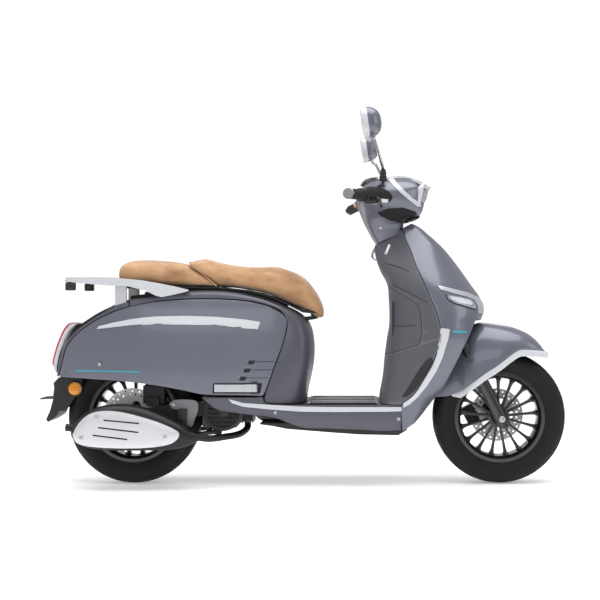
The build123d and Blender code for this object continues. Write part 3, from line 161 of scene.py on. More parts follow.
M = {
    "paint": material("body_paint", (99, 101, 114), 0.34, metal=0.25, coat=0.55, vary=0.03,
                      grain=0.05, grain_size=1800.0, cloud=4.0, wear=0.25, wear_colour=(150, 152, 162)),
    # darker copy of the body paint: painted shade, for the skirts where they turn under and for the covers
    # under and around the seat
    "paint_shaded": material("body_paint_shaded", (76, 77, 87), 0.42, metal=0.15, coat=0.2, vary=0.04,
                           grain=0.06, grain_size=1500.0, cloud=4.0, wear=0.2, wear_colour=(130, 131, 140)),
    "inner": material("inner_panel", (77, 77, 85), 0.5, vary=0.05, grain=0.22, grain_size=900.0,
                      wear=0.2, wear_colour=(140, 140, 148), kind="voronoi"),
    "trim": material("trim_white", (196, 198, 203), 0.32, vary=0.02, coat=0.3, grain=0.03,
                     grain_size=1200.0, wear=0.2, wear_colour=(240, 240, 240)),
    "brow": material("brow_silver", (168, 170, 175), 0.35, metal=0.3, vary=0.03, grain=0.04,
                     grain_size=1500.0),
    "silver": material("trim_silver", (196, 199, 204), 0.3, metal=0.6, vary=0.03, grain=0.04,
                       grain_size=1500.0),
    "seat": suede("seat_suede", (196, 156, 117), (176, 136, 98), (144, 107, 74)),
    "thread": material("seat_thread", (164, 124, 87), 0.8, grain=0.5, grain_size=2500.0, kind="wave"),
    "plastic": material("black_plastic", (17, 17, 18), 0.5, vary=0.12, grain=0.35, grain_size=1100.0,
                        wear=0.35, wear_colour=(72, 72, 75), kind="voronoi"),
    "frame": material("frame_paint", (15, 15, 17), 0.4, vary=0.12, coat=0.2, wear=0.4,
                      wear_colour=(80, 80, 82), grain=0.1, grain_size=700.0),
    "tyre": material("tyre_rubber", (13, 13, 14), 0.62, specular=0.3, vary=0.2, grain=0.3, grain_size=900.0,
                     wear=0.3, wear_colour=(52, 51, 50)),
    "rubber": material("rubber", (18, 18, 19), 0.7, vary=0.15, grain=0.35, grain_size=1400.0,
                       wear=0.25, wear_colour=(60, 60, 60)),
    "rim": material("rim_paint", (12, 12, 14), 0.32, vary=0.1, coat=0.4, wear=0.4,
                    wear_colour=(85, 85, 88), grain=0.05, grain_size=900.0),
    "steel": material("steel", (176, 177, 180), 0.32, metal=1.0, vary=0.08, grain=0.2,
                      grain_size=260.0, kind="wave", wear=0.3, wear_colour=(225, 225, 225)),
    "chrome": material("chrome", (205, 206, 209), 0.1, metal=1.0, vary=0.04, grain=0.03,
                       grain_size=500.0, rough_vary=0.04),
    "alloy": material("cast_alloy", (128, 129, 132), 0.46, metal=0.85, vary=0.12, grain=0.5,
                      grain_size=800.0, wear=0.4, wear_colour=(190, 190, 190)),
    "engine": material("engine_casting", (40, 40, 43), 0.5, metal=0.5, vary=0.2, grain=0.5,
                       grain_size=700.0, wear=0.4, wear_colour=(110, 110, 112)),
    "exhaust": material("exhaust_black", (15, 15, 17), 0.42, metal=0.2, vary=0.15, grain=0.15,
                        grain_size=900.0, wear=0.3, wear_colour=(70, 68, 66)),
    "heat": material("heat_shield", (203, 204, 208), 0.3, metal=0.35, vary=0.03, grain=0.08,
                     grain_size=300.0, kind="wave", wear=0.2, wear_colour=(245, 245, 245)),
    "clear": material("clear_lens", (232, 236, 240), 0.06, vary=0.02, trans=0.75, rough_vary=0.02,
                      grain=0.05, grain_size=150.0, kind="wave"),
    "reflector": material("lamp_reflector", (214, 217, 222), 0.14, metal=0.9, vary=0.03, grain=0.3,
                          grain_size=120.0, kind="voronoi", rough_vary=0.04),
    "led": material("led_white", (244, 247, 250), 0.3, vary=0.02, glow=0.35, grain=0.2,
                    grain_size=400.0, kind="voronoi"),
    "red": material("red_lens", (178, 22, 36), 0.14, vary=0.06, coat=0.6, grain=0.4,
                    grain_size=230.0, kind="wave"),
    "amber": material("amber_lens", (226, 140, 14), 0.2, vary=0.08, coat=0.5, grain=0.6,
                      grain_size=260.0, kind="voronoi"),
    "glass": material("mirror_glass", (212, 217, 222), 0.03, metal=1.0, vary=0.01, rough_vary=0.01),
    "display": material("display", (16, 19, 24), 0.08, coat=0.6, vary=0.2, grain=0.02,
                        grain_size=600.0, rough_vary=0.03),
    "teal": material("teal_accent", (38, 150, 172), 0.35, coat=0.4, vary=0.04, grain=0.03,
                     grain_size=900.0),
    # near-black for gaps, slots and seals, and also painted shade on the cowl's underside and along the
    # glovebox door's crease
    "gap": material("panel_gap_and_painted_shade", (14, 14, 16), 0.8, vary=0.1, grain=0.1, grain_size=500.0),
}


# ---------------------------------------------------------------- mesh helpers, in millimetres
def turn(count):
    """Angles of a full turn, evenly spaced."""
    return np.linspace(0, 2 * math.pi, count, endpoint=False)


def signed_power(value, power):
    """Power of a sine or cosine that keeps its sign; it squares or pinches a circle."""
    return math.copysign(abs(value) ** power, value)


def resample(points, count):
    """Smooth curve through points of any dimension, cut into evenly spaced ones."""
    p = np.array(points, float)
    ext = np.vstack([2 * p[0] - p[1], p, 2 * p[-1] - p[-2]])
    dense = []
    for i in range(1, len(ext) - 2):
        p0, p1, p2, p3 = ext[i - 1:i + 3]
        t1 = max(np.linalg.norm(p1 - p0), 1e-6) ** 0.5
        t2 = t1 + max(np.linalg.norm(p2 - p1), 1e-6) ** 0.5
        t3 = t2 + max(np.linalg.norm(p3 - p2), 1e-6) ** 0.5
        for t in np.linspace(t1, t2, 20, endpoint=False):
            a1 = p0 * (t1 - t) / t1 + p1 * t / t1
            a2 = p1 * (t2 - t) / (t2 - t1) + p2 * (t - t1) / (t2 - t1)
            a3 = p2 * (t3 - t) / (t3 - t2) + p3 * (t - t2) / (t3 - t2)
            b1 = a1 * (t2 - t) / t2 + a2 * t / t2
            b2 = a2 * (t3 - t) / (t3 - t1) + a3 * (t - t1) / (t3 - t1)
            dense.append(b1 * (t2 - t) / (t2 - t1) + b2 * (t - t1) / (t2 - t1))
    dense.append(p[-1])
    return even(np.array(dense), count)


def even(dense, count):
    """Points spaced evenly along a dense polyline."""
    run = np.concatenate([[0], np.cumsum(np.linalg.norm(np.diff(dense, axis=0), axis=1))])
    at = np.linspace(0, run[-1], count)
    return np.stack([np.interp(at, run, dense[:, k]) for k in range(dense.shape[1])], 1)


def new_object(name, mesh):
    """Object in the scene that holds a mesh."""
    obj = bpy.data.objects.new(name, mesh)
    bpy.context.scene.collection.objects.link(obj)
    return obj


def mesh_object(name, verts, faces):
    """Mesh object from millimetre points."""
    mesh = bpy.data.meshes.new(name)
    mesh.from_pydata([tuple(float(c) * MM for c in v) for v in verts], [], faces)
    mesh.update()
    return new_object(name, mesh)


def bmesh_object(name, bm):
    """Mesh object from a bmesh, which is freed."""
    mesh = bpy.data.meshes.new(name)
    bm.to_mesh(mesh)
    bm.free()
    return new_object(name, mesh)


def bmesh_of(obj):
    """Editable copy of an object's mesh."""
    bm = bmesh.new()
    bm.from_mesh(obj.data)
    return bm


def store(bm, obj):
    """Write a bmesh back into its object and free it."""
    bm.to_mesh(obj.data)
    bm.free()


def everything(bm):
    """All the geometry of a bmesh, for a cut."""
    return bm.verts[:] + bm.edges[:] + bm.faces[:]


def face_right(obj):
    """Turn an open sheet's normals towards the right-hand side of the vehicle."""
    bm = bmesh_of(obj)
    if sum(f.normal.y * f.calc_area() for f in bm.faces) > 0:
        bmesh.ops.reverse_faces(bm, faces=bm.faces)
    store(bm, obj)


def tidy_mesh(obj, outward_from=None, merge=0.00002):
    """Merge seams and turn the normals away from a core point."""
    bm = bmesh_of(obj)
    bmesh.ops.remove_doubles(bm, verts=bm.verts, dist=merge)
    bmesh.ops.dissolve_degenerate(bm, dist=merge / 4, edges=bm.edges)
    loose = [v for v in bm.verts if not v.link_faces]
    bmesh.ops.delete(bm, geom=loose, context="VERTS")
    bmesh.ops.recalc_face_normals(bm, faces=bm.faces)
    if outward_from is not None:
        core = Vector(outward_from) * MM
        lean = sum(f.normal.dot(f.calc_center_median() - core) * f.calc_area() for f in bm.faces)
        if lean < 0:
            bmesh.ops.reverse_faces(bm, faces=bm.faces)
    store(bm, obj)
    return obj


def grid(name, rows, valid=None, wrap=False):
    """Quads over an array of points [row][column]; wrap joins the last column to the first."""
    rows = np.asarray(rows, float)
    n_rows, n_cols = rows.shape[:2]
    faces = []
    for i in range(n_rows - 1):
        for j in range(n_cols if wrap else n_cols - 1):
            k = (j + 1) % n_cols
            if valid is None or (valid[i][j] and valid[i][k] and valid[i + 1][j] and valid[i + 1][k]):
                faces.append((i * n_cols + j, i * n_cols + k, (i + 1) * n_cols + k, (i + 1) * n_cols + j))
    return mesh_object(name, rows.reshape(-1, 3), faces)


def mirrored(obj):
    """Add the left half to a mesh that has only the right one."""
    bm = bmesh_of(obj)
    twin = bmesh.ops.duplicate(bm, geom=everything(bm))["geom"]
    for v in twin:
        if isinstance(v, bmesh.types.BMVert):
            v.co.y = -v.co.y
    bmesh.ops.reverse_faces(bm, faces=[f for f in twin if isinstance(f, bmesh.types.BMFace)])
    store(bm, obj)
    return obj


def smooth(obj, angle=40):
    """Smooth shading except over sharp edges."""
    obj.data.polygons.foreach_set("use_smooth", [True] * len(obj.data.polygons))
    bm = bmesh_of(obj)
    limit = math.radians(angle)
    for e in bm.edges:
        if len(e.link_faces) == 2 and e.calc_face_angle(0) > limit:
            e.smooth = False
    store(bm, obj)


def bake(obj):
    """Apply the modifiers."""
    deps = bpy.context.evaluated_depsgraph_get()
    deps.update()
    mesh = bpy.data.meshes.new_from_object(obj.evaluated_get(deps), depsgraph=deps)
    obj.modifiers.clear()
    obj.data = mesh
    return obj


def solid(obj, thickness, bevel=0.8):
    """Give a sheet its wall, inwards, and round the rim."""
    mod = obj.modifiers.new("wall", "SOLIDIFY")
    mod.thickness = thickness * MM
    mod.offset = -1
    mod.use_even_offset = False
    mod.use_rim = True
    if bevel:
        edge = obj.modifiers.new("edge", "BEVEL")
        edge.width = bevel * MM
        edge.segments = 2
        edge.limit_method = "ANGLE"
        edge.angle_limit = math.radians(50)
        edge.use_clamp_overlap = True
    return bake(obj)


def place(obj, finish, body, *nodes, angle=40):
    """Finish, slot and body of a piece, and the CAD nodes it stands for."""
    obj.data.materials.clear()
    obj.data.materials.append(M[finish])
    if obj.type == "MESH" and angle:
        smooth(obj, angle)
    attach(obj, body)
    if nodes:
        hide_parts(*nodes)
    return obj


def section(row, count, stop_x=None):
    """Curve from a side edge (ax, az, half width ay) round to (bx, bz, by); n sets the squareness."""
    ax, az, ay, bx, bz, by, n = row[:7]
    quarter = np.linspace(0, math.pi / 2, 220)
    s = np.sin(quarter) ** (2 / n)
    c = np.cos(quarter) ** (2 / n)
    pts = np.stack([ax + (bx - ax) * s, -(by + (ay - by) * c), az + (bz - az) * s], 1)
    if stop_x is not None:
        keep = pts[:, 0] <= stop_x
        if keep.sum() > 2:
            pts = pts[keep]
    return pts if count is None else even(pts, count)


def shell(name, rows, n_rows, n_cols):
    """Symmetric shell swept through section rows."""
    fine = resample(rows, n_rows)
    obj = grid(name, [section(r, n_cols) for r in fine])
    return mirrored(obj)


def fill(outline, step):
    """Flat mesh of an XZ outline cut into a grid; returns the bmesh in metres at y = 0."""
    bm = bmesh.new()
    verts = [bm.verts.new((x * MM, 0, z * MM)) for x, z in outline]
    face = bm.faces.new(verts)
    bmesh.ops.triangulate(bm, faces=[face])
    xs = [p[0] for p in outline]
    zs = [p[1] for p in outline]
    for axis, low, high in ((0, min(xs), max(xs)), (2, min(zs), max(zs))):
        normal = Vector((1, 0, 0)) if axis == 0 else Vector((0, 0, 1))
        for at in np.arange(low + step, high, step):
            bmesh.ops.bisect_plane(
                bm, geom=everything(bm), plane_co=normal * float(at) * MM,
                plane_no=normal, dist=1e-7,
            )
    return bm


def tree_of(obj):
    """Ray-casting tree of an object's mesh."""
    bm = bmesh_of(obj)
    tree = BVHTree.FromBMesh(bm)
    bm.free()
    return tree


def rounded_outline(outline, count):
    """Closed outline of points with its corners smoothed into one curve."""
    return [tuple(p) for p in resample(list(outline) + [outline[0]], count)[:-1]]


WRAP_MERGE = 0.0002
RAY_START_Y = -1.0


def wrap(name, outline, tree, proud, wall, step=7, both=True, bevel=0.6, smooth_outline=False):
    """Strip or lamp whose side-view outline is laid on a shell, standing proud of it."""
    if smooth_outline:
        outline = rounded_outline(outline, len(outline) * 5)
    bm = fill(outline, step)
    last = None
    for v in sorted(bm.verts, key=lambda v: v.co.x):
        hit, normal, _, _ = tree.ray_cast(Vector((v.co.x, RAY_START_Y, v.co.z)), Vector((0, 1, 0)))
        if hit is None or hit.y > 0:
            near, normal, _, _ = tree.find_nearest(Vector((v.co.x, last if last else -0.15, v.co.z)))
            hit = near
        if normal.y > 0:
            normal = -normal
        last = hit.y
        v.co = Vector((v.co.x, hit.y, v.co.z)) + normal * proud * MM
    obj = bmesh_object(name, bm)
    tidy_mesh(obj, (0, 0, 0), merge=WRAP_MERGE)
    face_right(obj)
    solid(obj, wall, bevel)
    if both:
        mirrored(obj)
    return obj


def revolve(name, profile, centre, axis="Y", count=64, close=True):
    """Closed outline of (along, radius) points turned about an axis."""
    rings = []
    for k in range(count):
        a = 2 * math.pi * k / count
        ring = []
        for along, r in profile:
            u, v = r * math.cos(a), r * math.sin(a)
            if axis == "Y":
                ring.append((centre[0] + u, centre[1] + along, centre[2] + v))
            elif axis == "X":
                ring.append((centre[0] + along, centre[1] + u, centre[2] + v))
            else:
                ring.append((centre[0] + u, centre[1] + v, centre[2] + along))
        rings.append(ring)
    rings.append(rings[0])
    obj = grid(name, rings, wrap=close)
    return tidy_mesh(obj)


def tube(name, points, radius, sides=14, taper=None, closed_ends=True):
    """Round bar along a smooth path; taper gives the radius at each given point."""
    pts = np.array(points, float)
    count = max(8, int(sum(np.linalg.norm(np.diff(pts, axis=0), axis=1)) / 5))
    radii = np.array(taper if taper is not None else [radius] * len(pts), float)[:, None]
    path = resample(np.hstack([pts, radii]), count)
    rings = []
    up = Vector((0.13, 0.31, 0.94)).normalized()
    for i in range(count):
        a = path[max(0, i - 1), :3]
        b = path[min(count - 1, i + 1), :3]
        tangent = Vector(b - a).normalized()
        side = tangent.cross(up)
        if side.length < 0.05:
            side = tangent.cross(Vector((1, 0, 0)))
        side.normalize()
        up = side.cross(tangent).normalized()
        rings.append([
            Vector(path[i, :3]) + (side * math.cos(t) + up * math.sin(t)) * path[i, 3]
            for t in (2 * math.pi * k / sides for k in range(sides))
        ])
    verts = [v for ring in rings for v in ring]
    faces = []
    for i in range(count - 1):
        for k in range(sides):
            n = (k + 1) % sides
            faces.append((i * sides + k, i * sides + n, (i + 1) * sides + n, (i + 1) * sides + k))
    if closed_ends:
        faces.append(tuple(range(sides))[::-1])
        faces.append(tuple((count - 1) * sides + k for k in range(sides)))
    return tidy_mesh(mesh_object(name, verts, faces))


def join(name, objs):
    """One object from several."""
    bm = bmesh.new()
    for o in objs:
        bm.from_mesh(o.data)
    for o in objs:
        bpy.data.objects.remove(o)
    return bmesh_object(name, bm)


def bolt(centre, radius, side=-1, axis="Y", depth=3.0):
    """Domed socket screw head facing along an axis."""
    r, d = radius, depth * side
    profile = [(0, 0), (0, r), (0.55 * d, r), (0.85 * d, 0.86 * r), (d, 0.6 * r), (d, 0.42 * r),
               (0.45 * d, 0.38 * r), (0.45 * d, 0)]
    return revolve("bolt", profile, centre, axis, 18, close=False)


def soften(node, finish, width=1.2, segments=2, angle=35):
    """Better finish and rounded edges for a CAD node whose shape is right."""
    obj = NODES[node]
    obj.data.materials.clear()
    obj.data.materials.append(M[finish])
    obj.data.polygons.foreach_set("material_index", [0] * len(obj.data.polygons))
    obj.data.polygons.foreach_set("use_smooth", [True] * len(obj.data.polygons))
    if width:
        weld = obj.modifiers.new("weld", "WELD")
        weld.merge_threshold = 0.00002
        edge = obj.modifiers.new("edge", "BEVEL")
        edge.width = width * MM
        edge.segments = segments
        edge.limit_method = "ANGLE"
        edge.angle_limit = math.radians(angle)
        edge.harden_normals = False
        normals = obj.modifiers.new("normals", "WEIGHTED_NORMAL")
        normals.keep_sharp = True
    return obj


# ---------------------------------------------------------------- leg shield
APRON_ROWS = [
    (352, 908, 38, 388, 927, 0, 1.9), (358, 890, 50, 412, 917, 0, 1.9), (366, 865, 66, 450, 886, 0, 1.85),
    (380, 830, 92, 498, 842, 0, 1.85), (398, 775, 128, 549, 779, 0, 1.8), (428, 703, 165, 601, 706, 0, 1.8),
    (450, 650, 180, 633, 660, 0, 1.8), (468, 605, 190, 646, 618, 0, 1.8), (477, 565, 194, 634, 574, 0, 1.8),
    (478, 520, 194, 632, 522, 0, 1.8), (465, 470, 192, 615, 472, 0, 1.8), (450, 430, 190, 598, 432, 0, 1.8),
    (430, 395, 187, 580, 397, 0, 1.8), (400, 345, 182, 555, 350, 0, 1.8), (380, 320, 178, 530, 325, 0, 1.8),
    (352, 298, 172, 510, 305, 0, 1.8), (346, 280, 169, 480, 285, 0, 1.8), (346, 250, 167, 455, 255, 0, 1.8),
    (347, 222, 166, 435, 226, 0, 1.8), (348, 203, 165.5, 425, 204, 0, 1.8),
]
ARCH_X = [(203, 352), (224, 394), (252, 421), (282, 444), (300, 457), (320, 470), (345, 492), (395, 515),
          (430, 533), (470, 553), (520, 578), (566, 604)]
NOSE_BASE = 566.0


def build_apron():
    """Outer leg shield: side walls down to the wheel arch, and the nose above it."""
    rows = resample(APRON_ROWS, 120)
    side_cols, nose_cols = 34, 14
    arch_z = [a[0] for a in ARCH_X]
    arch_x = [a[1] for a in ARCH_X]
    base = next(r for r in rows if r[1] < NOSE_BASE)
    whole = section(base, None)
    length = np.linalg.norm(np.diff(whole, axis=0), axis=1).cumsum()
    share = length[np.searchsorted(whole[:, 0], ARCH_X[-1][1]) - 1] / length[-1]
    points, valid = [], []
    for row in rows:
        if row[1] >= NOSE_BASE:
            line = section(row, 400)
            cut = int(share * 400)
            points.append(np.vstack([even(line[:cut + 1], side_cols), even(line[cut:], nose_cols + 1)[1:]]))
            valid.append([True] * (side_cols + nose_cols))
        else:
            line = section(row, side_cols, stop_x=float(np.interp(row[1], arch_z, arch_x)))
            points.append(np.vstack([line, np.repeat(line[-1:], nose_cols, axis=0)]))
            valid.append([True] * side_cols + [False] * nose_cols)
    obj = mirrored(grid("apron_shell", points, valid))
    return tidy_mesh(obj, (380, 0, 560))


apron = build_apron()
apron_tree = tree_of(apron)
solid(apron, 3.0, 1.0)
place(apron, "paint", "chassis", "front_apron")

INNER_ROWS = [
    (347, 903, 40, 256, 849, 0, 2.6), (356, 887, 50, 253, 836, 0, 2.6), (365, 862, 64, 257, 815, 0, 2.6),
    (378, 828, 90, 264, 787, 0, 2.7), (396, 774, 126, 278, 752, 0, 2.8), (426, 702, 163, 301, 706, 0, 2.8),
    (448, 649, 178, 306, 652, 0, 2.8), (466, 604, 188, 308, 604, 0, 2.8), (475, 564, 192, 307, 562, 0, 2.8),
    (476, 520, 192, 300, 520, 0, 2.8), (463, 470, 190, 293, 470, 0, 2.8), (448, 431, 188, 289, 432, 0, 2.9),
    (428, 396, 185, 286, 397, 0, 3.0), (398, 347, 180, 279, 350, 0, 3.2), (378, 322, 176, 274, 325, 0, 3.4),
    (351, 301, 171, 272, 304, 0, 3.6), (346, 293, 168, 272, 293, 0, 3.8),
]
DOOR_GAP = 1.0
DOOR = [(240, 722), (303, 700), (400, 640), (410, 600), (415, 540), (405, 500), (300, 465), (240, 445)]


def edge_planes(outline, gap):
    """Planes of a convex XZ outline, moved outwards by gap."""
    mid = Vector((sum(p[0] for p in outline), 0, sum(p[1] for p in outline))) / len(outline)
    for (x1, z1), (x2, z2) in zip(outline, outline[1:] + outline[:1]):
        run = Vector((x2 - x1, 0, z2 - z1)).normalized()
        out = Vector((run.z, 0, -run.x))
        start = Vector((x1, 0, z1))
        if out.dot(mid - start) > 0:
            out = -out
        yield (start + out * gap) * MM, out


def cut_hole(obj, outline, gap=0.0):
    """Remove the part of a sheet inside a convex side-view outline, grown by gap."""
    bm = bmesh_of(obj)
    planes = list(edge_planes(outline, gap))
    for at, out in planes:
        bmesh.ops.bisect_plane(bm, geom=everything(bm), plane_co=at, plane_no=out)
    inside = [f for f in bm.faces
              if all((f.calc_center_median() - at).dot(out) < 0 for at, out in planes)]
    bmesh.ops.delete(bm, geom=inside, context="FACES")
    store(bm, obj)


def build_inner():
    """Rider's side of the leg shield, and the glovebox door cut out of the same surface."""
    base = shell("inner_base", INNER_ROWS, 110, 60)
    tidy_mesh(base, (400, 0, 560))
    door = new_object("glovebox_cover", base.data.copy())
    bm = bmesh_of(door)
    for at, out in edge_planes(DOOR, -DOOR_GAP):
        bmesh.ops.bisect_plane(bm, geom=everything(bm), plane_co=at, plane_no=out, clear_outer=True)
    store(bm, door)
    cut_hole(base, DOOR, DOOR_GAP)
    base.name = "inner_shield_shell"
    return base, door


inner, door = build_inner()
inner_tree = tree_of(inner)
door_tree = tree_of(door)
solid(inner, 3.0, 0.9)
solid(door, 3.0, 0.9)
place(inner, "inner", "chassis", "inner_leg_shield")
place(door, "inner", "glovebox", "glovebox_door")


def rounded_box(name, low, high, radius, segments=3, open_side=None, wall=0.0):
    """Box with rounded edges; an open side makes it a tray."""
    bm = bmesh.new()
    bmesh.ops.create_cube(bm, size=1.0)
    for v in bm.verts:
        v.co = Vector([(low[k] + (v.co[k] + 0.5) * (high[k] - low[k])) * MM for k in range(3)])
    if open_side is not None:
        axis, sign = open_side
        far = [f for f in bm.faces if f.normal[axis] * sign > 0.9]
        bmesh.ops.delete(bm, geom=far, context="FACES")
    keep = [e for e in bm.edges if len(e.link_faces) == 2]
    bmesh.ops.bevel(bm, geom=keep, offset=radius * MM, segments=segments, affect="EDGES", profile=0.5)
    obj = bmesh_object(name, bm)
    if wall:
        solid(obj, wall, 0.6)
    return obj


tub = rounded_box("glovebox_tub", (314, -112, 480), (366, 112, 650), 10, 4, open_side=(0, -1), wall=2.5)
place(tub, "plastic", "chassis")

# dark seam lines, a painted shade line along the door's crease, and the toe vent of the rider's side
for k, (tree, body, line) in enumerate([
    (inner_tree, "chassis", [(292, 782), (330, 770), (372, 752)]),
    (inner_tree, "chassis", [(318, 706), (375, 676), (432, 645)]),
    # painted shade along the crease of the glovebox door
    (door_tree, "glovebox", [(318, 563), (350, 562), (392, 566)]),
]):
    path = resample(line, 10)
    strip = [(x, z + 1.2) for x, z in path] + [(x, z - 1.2) for x, z in path[::-1]]
    place(wrap(f"inner_seam_and_crease_shade_{k}", strip, tree, 0.3, 0.8, bevel=0), "gap", body)
VENT = [(450, 456), (452, 440), (440, 412), (420, 380), (392, 345), (366, 322), (346, 318), (362, 345),
        (386, 385), (412, 425), (436, 452)]
place(wrap("toe_vent", VENT, inner_tree, 0.8, 1.4, smooth_outline=True), "plastic", "chassis")
HOOK = [(268, 0, 842), (256, 0, 836), (247, 0, 822), (246, 0, 806), (254, 0, 797), (262, 0, 803)]
hook = tube("bag_hook", HOOK, 4.5, taper=[6, 5, 4.5, 4.5, 4.2, 3.6])
place(hook, "chrome", "chassis")
CATCH = [(304, 850), (312, 847), (297, 812), (288, 815)]
place(wrap("side_catch", CATCH, inner_tree, 2.5, 2.5, step=9), "silver", "chassis")

# white strips and lamps on the apron
SHIELD_STRIP = [
    (480, 557), (509, 553), (506, 530), (497, 498), (484, 455), (464, 410), (430, 356), (400, 320),
    (374, 295), (351, 282), (351, 298), (370, 310), (385, 324), (402, 345), (432, 395), (452, 430),
    (467, 470), (479, 515),
]
place(wrap("shield_strip", SHIELD_STRIP, apron_tree, 2.2, 2.4, step=6), "trim", "chassis", "body_trims")
NOSE_TRIM = [(470, 703), (520, 692), (575, 680), (606, 668), (626, 660), (640, 640), (641, 612), (630, 606),
             (617, 608), (617, 632), (604, 652), (575, 664), (520, 678), (478, 689)]
place(wrap("lamp_brow", NOSE_TRIM, apron_tree, 2.4, 2.6, step=5), "silver", "chassis")
LAMP = [(496, 672), (530, 667), (590, 655), (608, 640), (610, 618), (586, 622), (525, 640), (504, 654)]
place(wrap("lamp_body", LAMP, apron_tree, 1.2, 2.0, step=5), "plastic", "chassis", "front_lamps")
LED = [(512, 665), (545, 661), (586, 651), (594, 640), (586, 635), (540, 645), (518, 655)]
place(wrap("lamp_led", LED, apron_tree, 2.2, 1.4, step=4), "led", "chassis")
LENS = [(500, 670), (530, 666), (588, 654), (604, 640), (606, 622), (586, 626), (526, 643), (506, 656)]
place(wrap("lamp_lens", LENS, apron_tree, 3.6, 1.0, step=5), "clear", "chassis")
TEAL = [(517, 549), (568, 546), (574, 538), (524, 540)]
place(wrap("apron_accent", TEAL, apron_tree, 0.5, 0.8, bevel=0), "teal", "chassis")

# ---------------------------------------------------------------- floor
SKIRT_ROWS = [
    (347, 291, 343, 203), (300, 291, 300, 200), (200, 291, 200, 204), (100, 291, 100, 208),
    (0, 291, -2, 213), (-40, 291, -52, 230), (-80, 292, -90, 244), (-112, 294, -150, 253),
    (-128, 300, -230, 262), (-131, 308, -290, 272), (-132, 314, -328, 298), (-133, 317, -345, 316),
]


def build_skirts():
    """Right-hand panel along the edge of the floor, turned in at its foot."""
    fine = resample(SKIRT_ROWS, 80)
    rows = []
    for tx, tz, bx, bz in fine:
        line = []
        for s in np.linspace(0, 1, 14):
            tuck = 14 * max(0.0, s - 0.45) ** 2 / 0.3
            line.append((tx + (bx - tx) * s, -(165.4 - tuck), tz + (bz - tz) * s))
        rows.append(line)
    obj = tidy_mesh(grid("floor_skirt", rows))
    face_right(obj)
    return obj


skirt = build_skirts()
skirt_tree = tree_of(skirt)
solid(skirt, 3.0, 0.8)
mirrored(skirt)
# the skirts take the darker copy of the body paint: painted shade where they turn under
place(skirt, "paint_shaded", "chassis")
board = rounded_box("floor_board", (-112, -163, 287), (346, 163, 290), 1.2)
place(board, "plastic", "chassis", "floor_skirts")
FLOOR_STRIP = [
    (-252, 312), (-200, 298), (-100, 291), (0, 286), (100, 284), (200, 284), (346, 284),
    (351, 290), (351, 270), (300, 268), (100, 267), (0, 268), (-100, 275), (-200, 285),
    (-240, 298),
]
floor_strip = wrap("floor_strip", FLOOR_STRIP, skirt_tree, 1.6, 2.0, step=9)
place(floor_strip, "trim", "chassis")
soften("floor_mat", "rubber", 0.7, 1)
mat_strips = []
for y in (-128, -64, 0, 64, 128):
    mat_strips.append(rounded_box("strip", (27, y - 3.4, 296.6), (257, y + 3.4, 298.8), 0.8, 2))
    for x in (25, 259):
        mat_strips.append(bolt((x, y, 294), 5, 1, "Z", 4))
place(join("mat_strips", mat_strips), "silver", "chassis")
soften("belly_pan", "plastic", 2.0, 2)

# ---------------------------------------------------------------- rear body
BODY_PLAN = resample([
    (-866, 88), (-850, 100), (-780, 121), (-700, 138), (-600, 152), (-500, 161), (-400, 166), (-300, 167),
    (-200, 165), (-130, 159), (-60, 145), (-10, 122), (20, 96), (34, 74), (40, 58),
], 300)


def body_y(x, z):
    """Half width of the rear body: widest at mid height, rolling in towards the seat."""
    width = float(np.interp(x, BODY_PLAN[:, 0], BODY_PLAN[:, 1]))
    above = max(0.0, (z - 470) / 230)
    below = max(0.0, (470 - z) / 150)
    return width * (1 - 0.27 * min(above, 1.15) ** 2.3 - 0.035 * min(below, 1.2) ** 2)


SIDE_PAIRS = [
    (-851, 384, -850, 394), (-836, 383, -838, 440), (-812, 382, -821, 490), (-776, 381, -789, 530),
    (-740, 379, -742, 565), (-700, 377, -700, 590), (-650, 374, -650, 612), (-600, 370, -600, 628),
    (-500, 358, -500, 647), (-400, 340, -400, 654), (-350, 329, -350, 655), (-300, 326, -300, 655),
    (-250, 325, -250, 653), (-200, 324, -200, 649), (-162, 323, -160, 642), (-136, 323, -128, 634),
    (-116, 365, -106, 626), (-97, 420, -88, 617), (-78, 470, -72, 607), (-64, 512, -60, 596),
    (-56, 545, -54, 585), (-53, 566, -52, 574),
]


def build_side():
    """Right-hand side cover, between its lower and its upper edge."""
    fine = resample(SIDE_PAIRS, 150)
    rows = []
    for lx, lz, hx, hz in fine:
        line = []
        for s in np.linspace(0, 1, 40):
            x, z = lx + (hx - lx) * s, lz + (hz - lz) * s
            line.append((x, -body_y(x, z), z))
        rows.append(line)
    obj = grid("side_cover_shell", rows)
    bm = bmesh_of(obj)
    bmesh.ops.recalc_face_normals(bm, faces=bm.faces)
    if sum(f.normal.y * f.calc_area() for f in bm.faces) > 0:
        bmesh.ops.reverse_faces(bm, faces=bm.faces)
    store(bm, obj)
    return obj


side = build_side()
side_tree = tree_of(side)
PEG_HOLE = [(-306, 331), (-142, 331), (-136, 366), (-306, 366)]


cut_hole(side, PEG_HOLE)
vents = []
VENT_X, VENT_Z, VENT_DX, VENT_DZ = -173, 438, -15, -28
for step in range(3):
    cx, cz = VENT_X + VENT_DX * step, VENT_Z + VENT_DZ * step
    vents.append([(cx - 12, cz - 7), (cx + 10, cz - 7), (cx + 13, cz + 7), (cx - 9, cz + 7)])
    cut_hole(side, vents[-1])
solid(side, 3.0, 0.9)
mirrored(side)
place(side, "paint", "chassis", "side_covers")

def side_box(side_sign, low, high, radius):
    """Rounded box given by its distances from the middle plane, on one side of it."""
    near, far = sorted((side_sign * low[1], side_sign * high[1]))
    return rounded_box("box", (low[0], near, low[2]), (high[0], far, high[2]), radius, 1)


